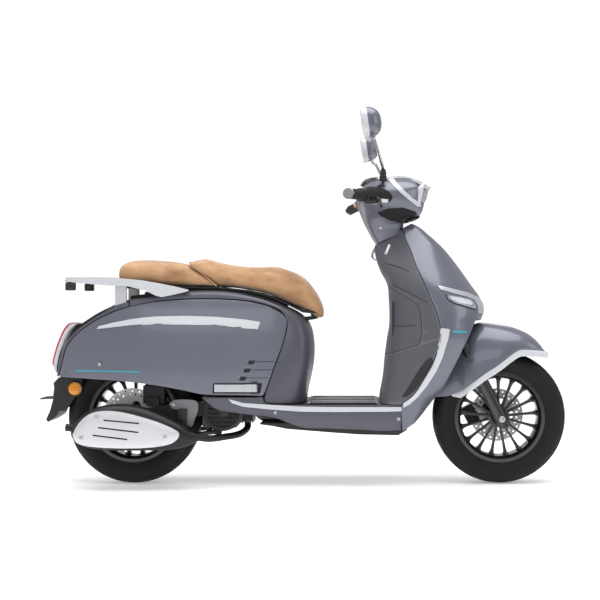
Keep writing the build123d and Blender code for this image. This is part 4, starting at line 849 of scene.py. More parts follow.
# dark vents with louvres, their accent lines, and the liner of the footpeg recess
louvres = []
for step, quad in enumerate(vents):
    cx = sum(p[0] for p in quad) / 4
    cz = sum(p[1] for p in quad) / 4
    y = body_y(cx, cz)
    for s in (-1, 1):
        louvres.append(side_box(s, (cx - 15, y - 8, cz - 9), (cx + 16, y - 5, cz + 9), 0.6))
        for k in range(3):
            lx = cx - 7 + 7 * k
            louvres.append(side_box(s, (lx - 1.3, y - 6, cz - 8), (lx + 1.3, y - 1.2, cz + 8), 0.5))
place(join("vent_louvres", louvres), "plastic", "chassis")
lines = []
for step, end_x in enumerate((-92, -104, -114)):
    x1, z = VENT_X + 13 + VENT_DX * step, VENT_Z + 2 + VENT_DZ * step
    thin = [(x1, z - 1), (end_x, z - 1), (end_x, z + 1), (x1, z + 1)]
    lines.append(wrap("line", thin, side_tree, 0.25, 0.6, bevel=0))
place(join("vent_lines", lines), "gap", "chassis")
liner = [side_box(s, (-312, 145, 326), (-132, 147, 372), 0.8) for s in (-1, 1)]
place(join("peg_recess", liner), "plastic", "chassis")
# dark sheet behind the panel seams, and the seal round the opening under the seat
BACKING_DEPTH, BACKING_REACH = 7, 24
backing = []
for lx, lz, hx, hz in resample(SIDE_PAIRS, 110):
    reach = BACKING_REACH / max(math.hypot(hx - lx, hz - lz), BACKING_REACH)
    line = []
    for s in np.linspace(-reach if lx > -134 else 0.02, 1 + reach, 16):
        x, z = lx + (hx - lx) * s, lz + (hz - lz) * s
        line.append((x, -(body_y(x, z) - BACKING_DEPTH), z))
    backing.append(line)
backing = mirrored(solid(tidy_mesh(grid("seam_backing", backing), (-400, 0, 480)), 2.0, 0))
cut_hole(backing, PEG_HOLE)
place(backing, "gap", "chassis")
GASKET = [
    (-596, -99, 662), (-500, -99, 674), (-400, -98, 689), (-300, -97, 691), (-200, -95, 679),
    (-150, -91, 668), (-104, -82, 652), (-72, -66, 638), (-64, -36, 634), (-63, 0, 634),
]
seal = GASKET + [(x, -y, z) for x, y, z in GASKET[-2::-1]] + [(-600, 40, 662), (-600, -40, 662), GASKET[0]]
place(tube("seat_gasket", seal, 6.5, sides=10), "gap", "chassis")
for name in ("footpeg_right", "footpeg_left"):
    soften(name, "silver", 1.5, 2)

ARC_STRIP = [
    (-705, 562), (-650, 575), (-600, 585), (-550, 592), (-500, 596), (-400, 598), (-300, 595), (-200, 586),
    (-143, 577), (-151, 552), (-200, 559), (-300, 568), (-400, 572), (-500, 571), (-550, 569), (-600, 565),
    (-650, 559), (-713, 552),
]
place(wrap("body_strip", ARC_STRIP, side_tree, 2.0, 2.4, step=8), "trim", "chassis")
PIN_LINE = [(-792, 404), (-700, 404), (-560, 402), (-556, 407), (-700, 409), (-788, 409)]
place(wrap("side_accent", PIN_LINE, side_tree, 0.4, 0.8, bevel=0), "teal", "chassis")


def edge_rows(pairs):
    """Section rows whose side edge lies on the rear body."""
    rows = []
    for ax, az, bx, bz, by, n in pairs:
        rows.append((ax, az, body_y(ax, az) - 0.4, bx, bz, by, n))
    return rows


CENTRE_PAIRS = [
    (-598, 631, -600, 658, 104, 2.2), (-500, 651, -500, 670, 104, 2.2), (-400, 658, -400, 685, 103, 2.2),
    (-300, 659, -300, 687, 102, 2.2), (-250, 657, -250, 683, 101, 2.2), (-200, 653, -200, 675, 100, 2.2),
    (-150, 645, -150, 664, 96, 2.2), (-105, 632, -100, 648, 88, 2.2), (-76, 619, -62, 632, 78, 2.2),
]
centre_top = mirrored(grid("seat_band", [section(r, 16) for r in resample(edge_rows(CENTRE_PAIRS), 90)]))
tidy_mesh(centre_top, (-300, 0, 500))
solid(centre_top, 3.0, 0.8)
# darker copy of the body paint: painted shade under the seat
place(centre_top, "paint_shaded", "chassis")
FRONT_PAIRS = [
    (-76, 619, -62, 632, 0, 2.8), (-62, 605, -30, 617, 0, 2.8), (-55, 590, -4, 600, 0, 2.8),
    (-50, 572, 16, 580, 0, 2.8), (-52, 550, 28, 556, 0, 2.8), (-60, 515, 36, 520, 0, 2.9),
    (-74, 470, 39, 475, 0, 3.0), (-92, 422, 36, 430, 0, 3.0), (-108, 376, 28, 385, 0, 3.0),
    (-124, 330, 19, 345, 0, 3.1), (-129, 308, 14, 318, 0, 3.2), (-129, 293, 11, 293, 0, 3.2),
]
centre = shell("centre_cover_shell", edge_rows(FRONT_PAIRS), 80, 46)
tidy_mesh(centre, (-120, 0, 450))
solid(centre, 3.0, 1.0)
# darker copy of the body paint: painted shade
place(centre, "paint_shaded", "chassis", "centre_cover")
TAIL_PAIRS = [
    (-602, 631, -603, 658, 0, 3.0), (-650, 616, -650, 645, 0, 3.0), (-700, 594, -702, 614, 0, 3.0),
    (-744, 568, -750, 582, 0, 3.0), (-791, 533, -792, 550, 0, 3.1), (-824, 492, -830, 511, 0, 3.2),
    (-841, 441, -850, 471, 0, 3.4), (-851, 408, -861, 430, 0, 3.6), (-855, 384, -866, 386, 0, 3.8),
]
tail = shell("tail_cover_shell", edge_rows(TAIL_PAIRS), 80, 46)
tidy_mesh(tail, (-700, 0, 400))
solid(tail, 3.0, 0.9)
# darker copy of the body paint: painted shade
place(tail, "paint_shaded", "chassis", "tail_cover")

# tail lamp: white bezel and red lens, all across the rear edge
LAMP_LINE = [(-800, 568), (-826, 541), (-843, 505), (-857, 465), (-865, 430), (-869, 397)]


def tail_piece(name, lift, half, depth, start, stop, n, wall):
    """Rounded strip lying across the tail, between two shares of the lamp line."""
    line = resample(LAMP_LINE, 40)
    line = line[int(start * 39):int(stop * 39) + 1]
    rows = []
    for i, (x, z) in enumerate(line):
        a = line[max(0, i - 1)]
        b = line[min(len(line) - 1, i + 1)]
        run = (b - a) / np.linalg.norm(b - a)
        out = np.array([run[1], -run[0]])
        if out[0] > 0:
            out = -out
        end = math.sin(math.pi * min(1, (i + 0.6) / 5, (len(line) - i - 0.4) / 5) / 2)
        row = []
        for t in np.linspace(0, math.pi, 33):
            s = math.sin(t) ** (2 / n)
            c = signed_power(math.cos(t), 2 / n)
            d = lift + depth * s * end
            row.append((x + out[0] * d, c * half * (0.9 + 0.1 * end), z + out[1] * d))
        rows.append(row)
    obj = tidy_mesh(grid(name, rows), (-700, 0, 450))
    return solid(obj, wall, 0.5)


place(tail_piece("tail_bezel", -2, 82, 17, 0, 1, 5, 2), "trim", "chassis")
place(tail_piece("tail_lens", 4, 68, 22, 0.05, 0.97, 4, 2), "red", "chassis", "rear_lamps")
reflectors = []
rings = []
for s in (-1, 1):
    centre = (-803, s * 73, 340)
    dome = [(0, 0), (0, 24), (s * 3, 24), (s * 6, 18), (s * 7.5, 9), (s * 8, 0)]
    rim = [(0, 23), (0, 27.5), (s * 5, 27.5), (s * 6.5, 25.5), (s * 5, 23.5)]
    reflectors.append(revolve("reflector", dome, centre, count=40, close=False))
    rings.append(revolve("ring", rim, centre, count=40))
place(join("side_reflectors", reflectors), "amber", "chassis")
place(join("reflector_rings", rings), "plastic", "chassis")
soften("rear_mudguard", "plastic", 1.2, 2)

# ---------------------------------------------------------------- grab rail
soften("grab_rail", "trim", 4.0, 4, 30)
RAIL_END_Y = 138
ends = [rounded_box("end", (-819, s * RAIL_END_Y - 12, 686), (-785, s * RAIL_END_Y + 12, 714), 5, 3)
        for s in (-1, 1)]
place(join("rail_ends", ends), "plastic", "chassis")

# ---------------------------------------------------------------- front fender
FENDER_ROWS = [
    (868, 466, 47, 871, 463, 0, 2.2), (848, 470, 60, 862, 472, 0, 2.2), (820, 473, 76, 846, 494, 0, 2.2),
    (790, 475, 89, 826, 515, 0, 2.3), (762, 474, 99, 800, 534, 0, 2.3), (730, 456, 110, 762, 551, 0, 2.3),
    (700, 434, 119, 725, 562, 0, 2.3), (670, 413, 121, 685, 569, 0, 2.3), (640, 394, 121, 640, 573, 0, 2.3),
    (610, 372, 121, 600, 562, 0, 2.3), (580, 349, 108, 560, 538, 0, 2.3), (555, 330, 90, 520, 510, 0, 2.4),
    (530, 320, 80, 487, 478, 0, 2.5), (508, 314, 75, 464, 425, 0, 2.6), (482, 312, 73, 446, 370, 0, 2.7),
    (455, 312, 72, 434, 316, 0, 2.8),
]
fender = shell("fender_shell", FENDER_ROWS, 110, 50)
tidy_mesh(fender, (680, 0, 400))
solid(fender, 3.0, 1.0)
place(fender, "paint", "steering", "front_fender")


STRIP_ROWS, STRIP_HEIGHT, STRIP_CROWN = 126, 20, 2.2


def fender_strip():
    """White band along the fender's lower edge, following its side."""
    fine = resample(FENDER_ROWS, 160)
    upper, lower = [], []
    for i, row in enumerate(fine[:STRIP_ROWS]):
        ax, az, ay = row[:3]
        drop = STRIP_HEIGHT * min(1.0, (STRIP_ROWS + 2 - i) / 16)
        upper.append((ax, -(ay + 1.6), az + 3))
        lower.append((ax + 3, -(ay + 0.4), az - drop))
    rows = []
    for u, l in zip(upper, lower):
        u, l = np.array(u), np.array(l)
        rows.append([tuple(u + (l - u) * s + np.array([0, -STRIP_CROWN * math.sin(math.pi * s), 0]))
                     for s in np.linspace(0, 1, 7)])
    obj = tidy_mesh(grid("fender_strip", rows))
    face_right(obj)
    solid(obj, 2.4, 0.7)
    return mirrored(obj)


place(fender_strip(), "trim", "steering", "steering_trims")

# ---------------------------------------------------------------- steering cover
# slices: rear X and Z, front X and Z, half width, how much the front narrows, squareness
COWL_ROWS = [
    (259, 852, 356, 900, 46, 0.10, 2.6), (247, 870, 357, 915, 50, 0.12, 2.6),
    (234, 894, 361, 929, 56, 0.15, 2.6), (222, 916, 378, 937, 66, 0.18, 2.6),
    (212, 938, 400, 944, 82, 0.25, 2.6), (204, 958, 416, 955, 104, 0.32, 2.6),
    (197, 976, 426, 974, 130, 0.38, 2.6), (192, 992, 431, 992, 150, 0.42, 2.6),
    (190, 1008, 434, 1011, 160, 0.44, 2.6), (191, 1024, 436, 1030, 160, 0.44, 2.6),
    (196, 1042, 436, 1047, 148, 0.42, 2.6), (206, 1059, 432, 1060, 122, 0.36, 2.5),
    (224, 1074, 420, 1074, 92, 0.28, 2.4), (252, 1084, 398, 1086, 62, 0.2, 2.3),
    (290, 1090, 368, 1093, 32, 0.1, 2.2), (326, 1095, 338, 1096, 4, 0, 2.0),
]


def build_cowl():
    """Steering cover, lofted through flat-sided slices."""
    rings = []
    for rx, rz, fx, fz, w, narrow, n in resample(COWL_ROWS, 90):
        ring = []
        for t in turn(72):
            c, s = math.cos(t), math.sin(t)
            f = 0.5 - 0.5 * signed_power(c, 2 / n)
            y = w * signed_power(s, 2 / n) * (1 - narrow * f)
            ring.append((rx + (fx - rx) * f, y, rz + (fz - rz) * f))
        rings.append(ring)
    return tidy_mesh(grid("cowl_shell", rings, wrap=True), (310, 0, 1000))


cowl = build_cowl()
cowl_tree = tree_of(cowl)
solid(cowl, 3.0, 0.8)
place(cowl, "paint", "steering", "handlebar_cover")
HEAD_BAND = [(300, 1078), (318, 1052), (340, 1030), (370, 1006), (404, 984), (418, 984), (414, 996),
             (384, 1012), (356, 1036), (334, 1060), (318, 1086)]
place(wrap("head_band", HEAD_BAND, cowl_tree, 1.8, 2.4, step=5), "trim", "steering")
HAND_HOLE = [(202, 1028), (224, 1046), (262, 1048), (300, 1032), (316, 1010), (306, 996), (262, 991),
             (222, 992), (204, 1006)]
place(wrap("hand_recess", HAND_HOLE, cowl_tree, 0.6, 1.6, step=6, smooth_outline=True), "gap", "steering")
LEVER_BOSS = [(279, 993), (297, 993), (301, 1004), (275, 1006)]
place(wrap("lever_boss", LEVER_BOSS, cowl_tree, 3.5, 3.0, step=8), "silver", "steering")
NECK_BOLT_R = 4.5
neck_bolt = [(275 + NECK_BOLT_R * math.cos(t), 908 + NECK_BOLT_R * math.sin(t)) for t in turn(12)]
place(wrap("neck_bolts", neck_bolt, cowl_tree, 2.0, 2.4, step=9), "steel", "steering")
# near-black sheet on the cowl's downward-facing underside: painted shade
UNDER_SIDE = [(262, 960), (300, 973), (352, 978), (398, 966), (418, 950), (398, 942), (372, 934),
              (352, 926), (310, 934), (276, 948)]
place(wrap("cowl_underside_shade", UNDER_SIDE, cowl_tree, 0.5, 1.4, step=7), "gap", "steering")

# headlight: bezel frame, reflector, lens
def head_ring(x_shift, half_y, low_z, high_z, n=4.0, count=72):
    """Rounded outline in the headlight's tilted plane."""
    ring = []
    for t in turn(count):
        c = signed_power(math.cos(t), 2 / n)
        s = signed_power(math.sin(t), 2 / n)
        z = (low_z + high_z) / 2 + (high_z - low_z) / 2 * s
        top = (z - 982) / 84
        y = half_y * c * (0.82 + 0.18 * top)
        x = 409 + 22 * top + x_shift - 10 * (abs(y) / 84) ** 2
        ring.append((x, y, z))
    return ring


bezel = grid("head_bezel", [
    head_ring(-12, 78, 986, 1062), head_ring(-2, 86, 980, 1068), head_ring(6, 86, 980, 1068),
    head_ring(10, 82, 984, 1064), head_ring(9, 76, 990, 1059), head_ring(0, 73, 993, 1056),
    head_ring(-12, 78, 986, 1062),
], wrap=True)
place(tidy_mesh(bezel), "trim", "steering", angle=50)
LAMP_MID_Z = 1024.5
lens_rings = []
for s in np.linspace(0, 1, 12):
    a = s * math.pi / 2
    k = max(math.cos(a), 0.01)
    lens_rings.append(head_ring(4 + 20 * math.sin(a), 75 * k, LAMP_MID_Z - 33 * k, LAMP_MID_Z + 33 * k, 3.4))
lens = tidy_mesh(grid("head_lens", lens_rings, wrap=True), (380, 0, 1024))
place(solid(lens, 2.0, 0), "clear", "steering", "headlight_lens")
bowl_rings = []
for a in np.linspace(0, 1.5, 10):
    k = max(math.cos(a), 0.05)
    bowl_rings.append(head_ring(2 - 26 * math.sin(a), 74 * k, LAMP_MID_Z - 32 * k, LAMP_MID_Z + 32 * k, 3.2))
place(tidy_mesh(grid("head_reflector", bowl_rings, wrap=True)), "reflector", "steering")
brow = []
for x, z in resample([(300, 1093), (340, 1097), (380, 1092), (415, 1080), (438, 1066), (458, 1056)], 26):
    share = (x - 300) / 158
    half = 22 + 58 * share ** 1.3
    row = []
    for t in np.linspace(-1, 1, 17):
        row.append((x - 14 * share * t * t, t * half, z + 2.0 - (6 + 10 * share) * t * t))
    brow.append(row)
brow = tidy_mesh(grid("head_brow", brow), (360, 0, 900))
place(solid(brow, 3.0, 0.9), "brow", "steering")

soften("instrument_cluster", "display", 3.0, 3)
DIAL_RIM = [(210, -62, 1068), (224, -64, 1080), (258, -62, 1087), (262, 0, 1088), (258, 62, 1087),
            (224, 64, 1080), (210, 62, 1068), (206, 0, 1065), (210, -62, 1068)]
place(tube("cluster_rim", DIAL_RIM, 2.6, sides=8), "silver", "steering")

# ---------------------------------------------------------------- handlebar, grips and mirrors
bar = NODES["handlebar"]
bar.data.materials.clear()
bar.data.materials.append(M["frame"])
bar.data.materials.append(M["chrome"])
for p in bar.data.polygons:
    c = p.center
    p.use_smooth = True
    p.material_index = 1 if (c.z > 1.106 or abs(c.y) > 0.344) else 0
BAR_MID = np.array([213.0, 180.0, 1014.0])
BAR_END = np.array([166.0, 345.0, 1003.0])
GRIP_LENGTH, GRIP_R = 133.0, 16.2


def grip(name, s, body, node):
    """Ribbed rubber grip on the straight end of the bar."""
    run = (BAR_END - BAR_MID) / np.linalg.norm(BAR_END - BAR_MID)
    run = Vector((run[0], s * run[1], run[2]))
    start = Vector((BAR_MID[0], s * BAR_MID[1], BAR_MID[2])) + run * 37.5
    up = Vector((0, 0, 1)).cross(run).normalized()
    other = run.cross(up).normalized()
    rings = []
    for d in np.linspace(0, GRIP_LENGTH, 134):
        ribbed = 14 < d < 122
        flange = 6 * math.exp(-((d - 3) / 3.5) ** 2)
        rib = 0.9 if (ribbed and (d % 8) < 4.5) else 0.0
        r = GRIP_R + flange + rib + 0.8 * math.sin(math.pi * d / GRIP_LENGTH)
        rings.append([
            start + run * float(d)
            + (up * math.cos(t) + other * math.sin(t)) * (r - (0.7 if (k % 6 == 0 and ribbed) else 0))
            for k, t in enumerate(turn(48))
        ])
    end = start + run * GRIP_LENGTH
    rings.append([end + (up * math.cos(t) + other * math.sin(t)) * 12 for t in turn(48)])
    obj = tidy_mesh(grid(name, [[tuple(v) for v in ring] for ring in rings], wrap=True))
    return place(obj, "rubber", body, node)


grip("grip_rubber_right", -1, "throttle", "throttle_grip")
grip("grip_rubber_left", 1, "steering", "left_grip")
soften("switch_housings", "plastic", 1.6, 2)
for name in ("start_button", "horn_button", "indicator_switch"):
    soften(name, "silver" if name != "horn_button" else "amber", 0.5, 2)
for name in ("brake_lever_right", "brake_lever_left"):
    soften(name, "frame", 0.6, 2)


def bellows(name, s):
    """Rubber boot at the foot of a mirror stem."""
    rings = []
    for d in np.linspace(0, 1, 25):
        r = 13.5 - 4.5 * d + 0.9 * math.sin(d * 20)
        rings.append([(283 + r * math.cos(t), s * 118 + r * math.sin(t), 1068 + 40 * d) for t in turn(28)])
    return tidy_mesh(grid(name, rings, wrap=True))


MIRROR_X, MIRROR_Y, MIRROR_Z = 228, 325, 1240
MIRROR_HALF_W, MIRROR_HALF_H = 68, 50
LEAN_COS, LEAN_SIN = math.cos(math.radians(8)), math.sin(math.radians(8))
RIM = [(228, 1.0), (222, 1.03), (212, 1.03), (208, 0.99), (209, 0.93), (214, 0.92), (228, 0.94), (228, 1.0)]


def mirror_ring(x, share, s):
    """Outline of a mirror head at one depth, leaning forward at its foot."""
    ring = []
    for t in turn(64):
        y = s * MIRROR_Y + MIRROR_HALF_W * share * signed_power(math.cos(t), 0.8)
        z = MIRROR_Z + MIRROR_HALF_H * share * signed_power(math.sin(t), 0.8)
        dx, dz = x - MIRROR_X, z - MIRROR_Z
        ring.append((MIRROR_X + dx * LEAN_COS - dz * LEAN_SIN, y, MIRROR_Z + dx * LEAN_SIN + dz * LEAN_COS))
    return ring


for s, word in ((-1, "right"), (1, "left")):
    place(bellows(f"mirror_boot_{word}", s), "rubber", "steering")
    dome = [mirror_ring(MIRROR_X + 46 * math.sin(a), math.cos(a) ** 0.8, s)
            for a in np.linspace(0, math.pi / 2, 16)]
    head = tidy_mesh(grid(f"mirror_shell_{word}", dome, wrap=True), (200, s * MIRROR_Y, MIRROR_Z))
    place(head, "paint", f"mirror_{word}", f"mirror_head_{word}")
    rim = [mirror_ring(x, share, s) for x, share in RIM]
    place(tidy_mesh(grid(f"mirror_rim_{word}", rim, wrap=True)), "trim", f"mirror_{word}", angle=50)
    face = [mirror_ring(214.5 - 3.5 * (1 - share), share, s) for share in np.linspace(0.93, 0.02, 10)]
    place(tidy_mesh(grid(f"mirror_glass_{word}", face, wrap=True)), "glass", f"mirror_{word}")

# ---------------------------------------------------------------- wheels
def axle_of(node):
    """Middle of a node's box, in millimetres."""
    low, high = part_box(node)
    return ((low[0] + high[0]) / 2 / MM, (low[1] + high[1]) / 2 / MM, (low[2] + high[2]) / 2 / MM)


# half width and radius along the tyre's outside and its hollow inside
TYRE_OUTSIDE = [(44, 152.4), (45, 158), (51, 170), (57, 184), (60, 197), (58.5, 209), (54, 218), (48, 225),
                (38, 231.4), (24, 235.2), (10, 236.3), (0, 236.4)]
TYRE_INSIDE = [(-44, 152.4), (-38, 156), (-50, 185), (-40, 222), (0, 229), (40, 222), (50, 185), (38, 156)]
TREAD_PITCH = 24


def tyre(name, centre):
    """Tyre with slanted tread grooves, shoulder blocks and sidewall rings."""
    half = resample(TYRE_OUTSIDE, 46)
    profile = np.vstack([half, [(-y, r) for y, r in half[-2::-1]]])
    inner = resample(TYRE_INSIDE, 20)
    count = 480
    rings = []
    for k in range(count):
        a = 2 * math.pi * k / count
        ring = []
        for y, r in profile:
            shift = 0.0
            if abs(y) < 56 and r > 213:
                phase = (k / count * TREAD_PITCH + abs(y) / 46.0 + (0.5 if y > 0 else 0.0)) % 1.0
                if 14 < abs(y) < 54 and phase < 0.17:
                    shift = -3.8
                if 5.0 < abs(y) < 9.0:
                    shift = -4.0
            elif abs(r - 176) < 1.3 or abs(r - 203) < 1.0:
                shift = 0.8
            if shift < 0:
                ring.append((y, r + shift))
            else:
                ring.append((y + math.copysign(shift, y) if shift else y, r))
        ring += [tuple(p) for p in inner]
        rings.append([
            (centre[0] + r * math.cos(a), centre[1] + y, centre[2] + r * math.sin(a)) for y, r in ring
        ])
    rings.append(rings[0])
    return tidy_mesh(grid(name, rings, wrap=True))


# (along, radius) outlines of the barrel, hub and rear shaft; (radius, width, half depth) of a spoke
BARREL = [
    (-47, 148), (-47.5, 154), (-46, 160), (-43.5, 160.5), (-42.5, 153), (-30, 146.5), (0, 143), (30, 146.5),
    (42.5, 153), (43.5, 160.5), (46, 160), (47.5, 154), (47, 148), (38, 142), (30, 138.5), (-30, 138.5),
    (-38, 142),
]
HUB = [(-44, 0), (-44, 22), (-40, 26), (-26, 30), (-22, 38), (22, 38), (26, 30), (40, 26), (44, 22), (44, 0)]
SHAFT = [(-122, 0), (-122, 16), (-120, 18), (-112, 18), (-112, 11), (112, 11), (112, 0)]
SPOKES = 17
SPOKE_SECTIONS = [(28, 13, 17), (45, 9.5, 14), (80, 9, 12), (112, 10.5, 12), (126, 13, 14), (134, 20, 18),
                  (141, 32, 24)]


def wheel(name, centre, shaft):
    """Cast wheel: flanged barrel, flared spokes, hub with a stepped face."""
    parts = [revolve("barrel", BARREL, centre, count=120)]
    fine = resample(SPOKE_SECTIONS, 22)
    for k in range(SPOKES):
        a = math.radians(90 + 360 * k / SPOKES)
        out = np.array([math.cos(a), 0, math.sin(a)])
        side = np.array([-math.sin(a), 0, math.cos(a)])
        rings = []
        for r, wide, deep in fine:
            ring = []
            for t in turn(16):
                c = signed_power(math.cos(t), 0.5)
                s = signed_power(math.sin(t), 0.5)
                ring.append(np.array(centre) + out * r + side * (wide / 2 * c) + np.array([0, deep * s, 0]))
            rings.append(ring)
        parts.append(tidy_mesh(grid("spoke", rings, wrap=True)))
    parts.append(revolve("hub", HUB, centre, count=48, close=False))
    if shaft:
        parts.append(revolve("shaft", SHAFT, centre, count=32, close=False))
    return join(name, parts)


front_axle = axle_of("front_tyre")
rear_axle = axle_of("rear_tyre")
place(tyre("tread_front", front_axle), "tyre", "front_wheel", "front_tyre", angle=30)
place(tyre("tread_rear", rear_axle), "tyre", "rear_wheel", "rear_tyre", angle=30)
place(wheel("wheel_front", front_axle, False), "rim", "front_wheel", "front_rim")
place(wheel("wheel_rear", rear_axle, True), "rim", "rear_wheel", "rear_rim")
for node in ("front_disc", "rear_disc"):
    soften(node, "steel", 0.5, 1)
for node in ("front_caliper", "rear_caliper"):
    soften(node, "engine", 4.0, 3)
soften("fork_sliders", "frame", 2.0, 3)
soften("fork_upper", "frame", 1.5, 2)
axle_caps = []
for s in (-1, 1):
    axle_caps.append(bolt((front_axle[0], s * 113, front_axle[2]), 11, s, "Y", 6))
place(join("axle_caps", axle_caps), "steel", "fork_lower")

# ---------------------------------------------------------------- engine, exhaust and suspension
for node, finish, width in (
    ("engine_block", "engine", 2.0), ("cvt_cover", "plastic", 4.0), ("kick_lever", "steel", 0.8),
    ("fan_cover", "plastic", 1.0), ("air_box", "plastic", 4.0), ("centre_stand", "frame", 1.0),
    ("shock_upper", "chrome", 0.6), ("shock_lower", "frame", 0.8), ("shock_spring", "silver", 0),
    ("frame", "frame", 0.8), ("storage_bucket", "plastic", 2.0), ("fuel_tank", "plastic", 1.0),
    ("fuel_cap", "plastic", 1.2), ("seat_base", "plastic", 1.5), ("body_screws", "steel", 0.8),
):
    soften(node, finish, width)

CAN_ROWS = [
    (-789, 205, 203, 6), (-782, 222, 180, 22), (-765, 243, 163, 33), (-735, 268, 149, 40),
    (-690, 288, 141, 43), (-640, 296, 138, 44), (-590, 295, 137, 44), (-540, 286, 137, 44),
    (-490, 268, 138, 43), (-440, 245, 141, 40), (-405, 225, 148, 34), (-378, 205, 158, 24),
    (-356, 196, 168, 15), (-345, 191, 172, 11),
]
rings = []
for x, top, low, half in resample(CAN_ROWS, 80):
    ring = []
    for t in turn(48):
        c = signed_power(math.cos(t), 0.75)
        s = signed_power(math.sin(t), 0.75)
        ring.append((x, -186 + half * c, (top + low) / 2 + (top - low) / 2 * s))
    rings.append(ring)
can = tidy_mesh(grid("muffler_can", rings, wrap=True), (-580, -186, 215))
PIPE = [(-352, -186, 182), (-320, -172, 176), (-270, -120, 176), (-222, -55, 180), (-201, -12, 196),
        (-200, 0, 212)]
pipe = tube("pipe", PIPE, 12)
tip = tube("tip", [(-770, -186, 214), (-806, -186, 216)], 13)
stays = [
    rounded_box("stay", (-560, -148, 240), (-530, -108.5, 256), 2, 2),
    rounded_box("stay", (-430, -148, 215), (-400, -108.5, 275), 2, 2),
]
place(join("muffler_body", [can, pipe, tip] + stays), "exhaust", "swing", "muffler")
SHIELD_OUT = [
    (-772, 196), (-758, 224), (-735, 252), (-705, 270), (-665, 277), (-620, 275),
    (-570, 265), (-520, 251), (-470, 234), (-432, 217), (-411, 202), (-414, 186),
    (-434, 168), (-470, 158), (-520, 152), (-600, 150), (-680, 153), (-730, 159),
    (-762, 172),
]
smooth_out = rounded_outline(SHIELD_OUT, 90)
PLATE_Y, PLATE_CROWN, CROWN_RUN = -231.5, 5.5, 9
bm = fill(smooth_out, 8)
for v in bm.verts:
    x, z = v.co.x / MM, v.co.z / MM
    reach = min(math.hypot(x - px, z - pz) for px, pz in smooth_out)
    v.co.y = (PLATE_Y - PLATE_CROWN * (1 - math.exp(-reach / CROWN_RUN))) * MM
plate = tidy_mesh(bmesh_object("muffler_plate", bm))
face_right(plate)
plate_tree = tree_of(plate)
solid(plate, 2.5, 0.8)
place(plate, "heat", "swing", "muffler_shield")
slots = []
for x1, z1, x2, z2 in ((-667, 246, -545, 235), (-685, 221, -547, 205), (-703, 195, -585, 181)):
    dx, dz = x2 - x1, z2 - z1
    run = math.hypot(dx, dz)
    nx, nz = -dz / run * 2.4, dx / run * 2.4
    outline = [(x1, z1), (x1 + nx + 2, z1 + nz), (x2 + nx - 2, z2 + nz), (x2, z2), (x2 - nx - 2, z2 - nz),
               (x1 - nx + 2, z1 - nz)]
    slots.append(wrap("slot", outline, plate_tree, 0.3, 0.8, step=20, both=False, bevel=0))
place(join("muffler_slots", slots), "gap", "swing")
bolts = [bolt((x, -236.2, z), 8, -1, "Y", 3.5) for x, z in ((-690, 259), (-741, 187), (-458, 191))]
place(join("muffler_bolts", bolts), "steel", "swing")
FAN_X, FAN_Z, BLADES = -275, 265, 18
fan_parts = []
for k in range(BLADES):
    a = 2 * math.pi * k / BLADES
    p1 = (FAN_X + 20 * math.cos(a), -116, FAN_Z + 20 * math.sin(a))
    p2 = (FAN_X + 55 * math.cos(a + 0.25), -116, FAN_Z + 55 * math.sin(a + 0.25))
    fan_parts.append(tube("blade", [p1, p2], 2.0, sides=8))
FAN_HUB = [(-121, 0), (-121, 14), (-118, 19), (-112, 20), (-112, 0)]
FAN_RING = [(-119, 56), (-121, 58), (-121, 66), (-119, 69), (-100, 70), (-100, 56)]
fan_parts.append(revolve("fan_hub", FAN_HUB, (FAN_X, 0, FAN_Z), count=32, close=False))
fan_parts.append(revolve("fan_ring", FAN_RING, (FAN_X, 0, FAN_Z), count=64))
place(join("fan_grille", fan_parts), "plastic", "swing")
BRACKET = [
    (-462, 292), (-448, 303), (-402, 307), (-366, 300), (-360, 276), (-372, 240),
    (-384, 212), (-398, 216), (-404, 246), (-420, 268), (-452, 276),
]
bm = fill(rounded_outline(BRACKET, 60), 10)
bracket = bmesh_object("exhaust_bracket", bm)
bracket.data.transform(Matrix.Translation((0, -131 * MM, 0)))
place(solid(tidy_mesh(bracket), 3.0, 0.8), "alloy", "swing")
place(bolt((-447, -134, 289), 8, -1, "Y", 5), "steel", "swing")

# ---------------------------------------------------------------- seat
# rear and front cushions: X, top, underside, half width, squareness; they meet on a slanted seam
REAR_SEAT = [
    (-646, 770, 714, 92, 3.0), (-636, 784, 702, 103, 3.2), (-595, 788, 701, 112, 3.4),
    (-550, 789, 700, 119, 3.4), (-500, 787, 700, 122, 3.4), (-450, 783, 700, 124, 3.4),
    (-400, 777, 700, 124, 3.3), (-350, 745, 700, 123, 3.0), (-305, 712, 700, 120, 2.6),
]
FRONT_SEAT = [
    (-396, 786, 772, 110, 2.6), (-380, 793, 757, 118, 2.8), (-345, 794, 733, 121, 3.0),
    (-300, 781, 701, 121, 3.2), (-250, 771, 697, 120, 3.2), (-200, 765, 690, 118, 3.2),
    (-150, 764, 680, 113, 3.2), (-100, 765, 664, 107, 3.1), (-60, 761, 646, 100, 3.0),
    (-25, 750, 630, 93, 2.9), (10, 726, 614, 84, 2.8), (35, 697, 600, 74, 2.7),
    (58, 660, 588, 64, 2.6), (72, 626, 594, 54, 2.4),
]


def cushion_base(name, stations):
    """Closed pad swept through its stations."""
    rings = []
    fine = resample(stations, 60)
    for x, top, low, half, n in fine:
        ring = []
        for t in turn(48):
            c = signed_power(math.cos(t), 2 / n)
            s = signed_power(math.sin(t), 2 / n)
            ring.append((x, half * c * (1 - 0.05 * max(0, s)), (top + low) / 2 + (top - low) / 2 * s))
        rings.append(ring)
    verts = [v for r in rings for v in r]
    faces = []
    for i in range(len(rings) - 1):
        for k in range(48):
            n2 = (k + 1) % 48
            faces.append((i * 48 + k, i * 48 + n2, (i + 1) * 48 + n2, (i + 1) * 48 + k))
    faces.append(tuple(range(48))[::-1])
    faces.append(tuple((len(rings) - 1) * 48 + k for k in range(48)))
    return tidy_mesh(mesh_object(name, verts, faces))


CLOTH_FRAMES = 20
PIN_HEIGHT = 0.012


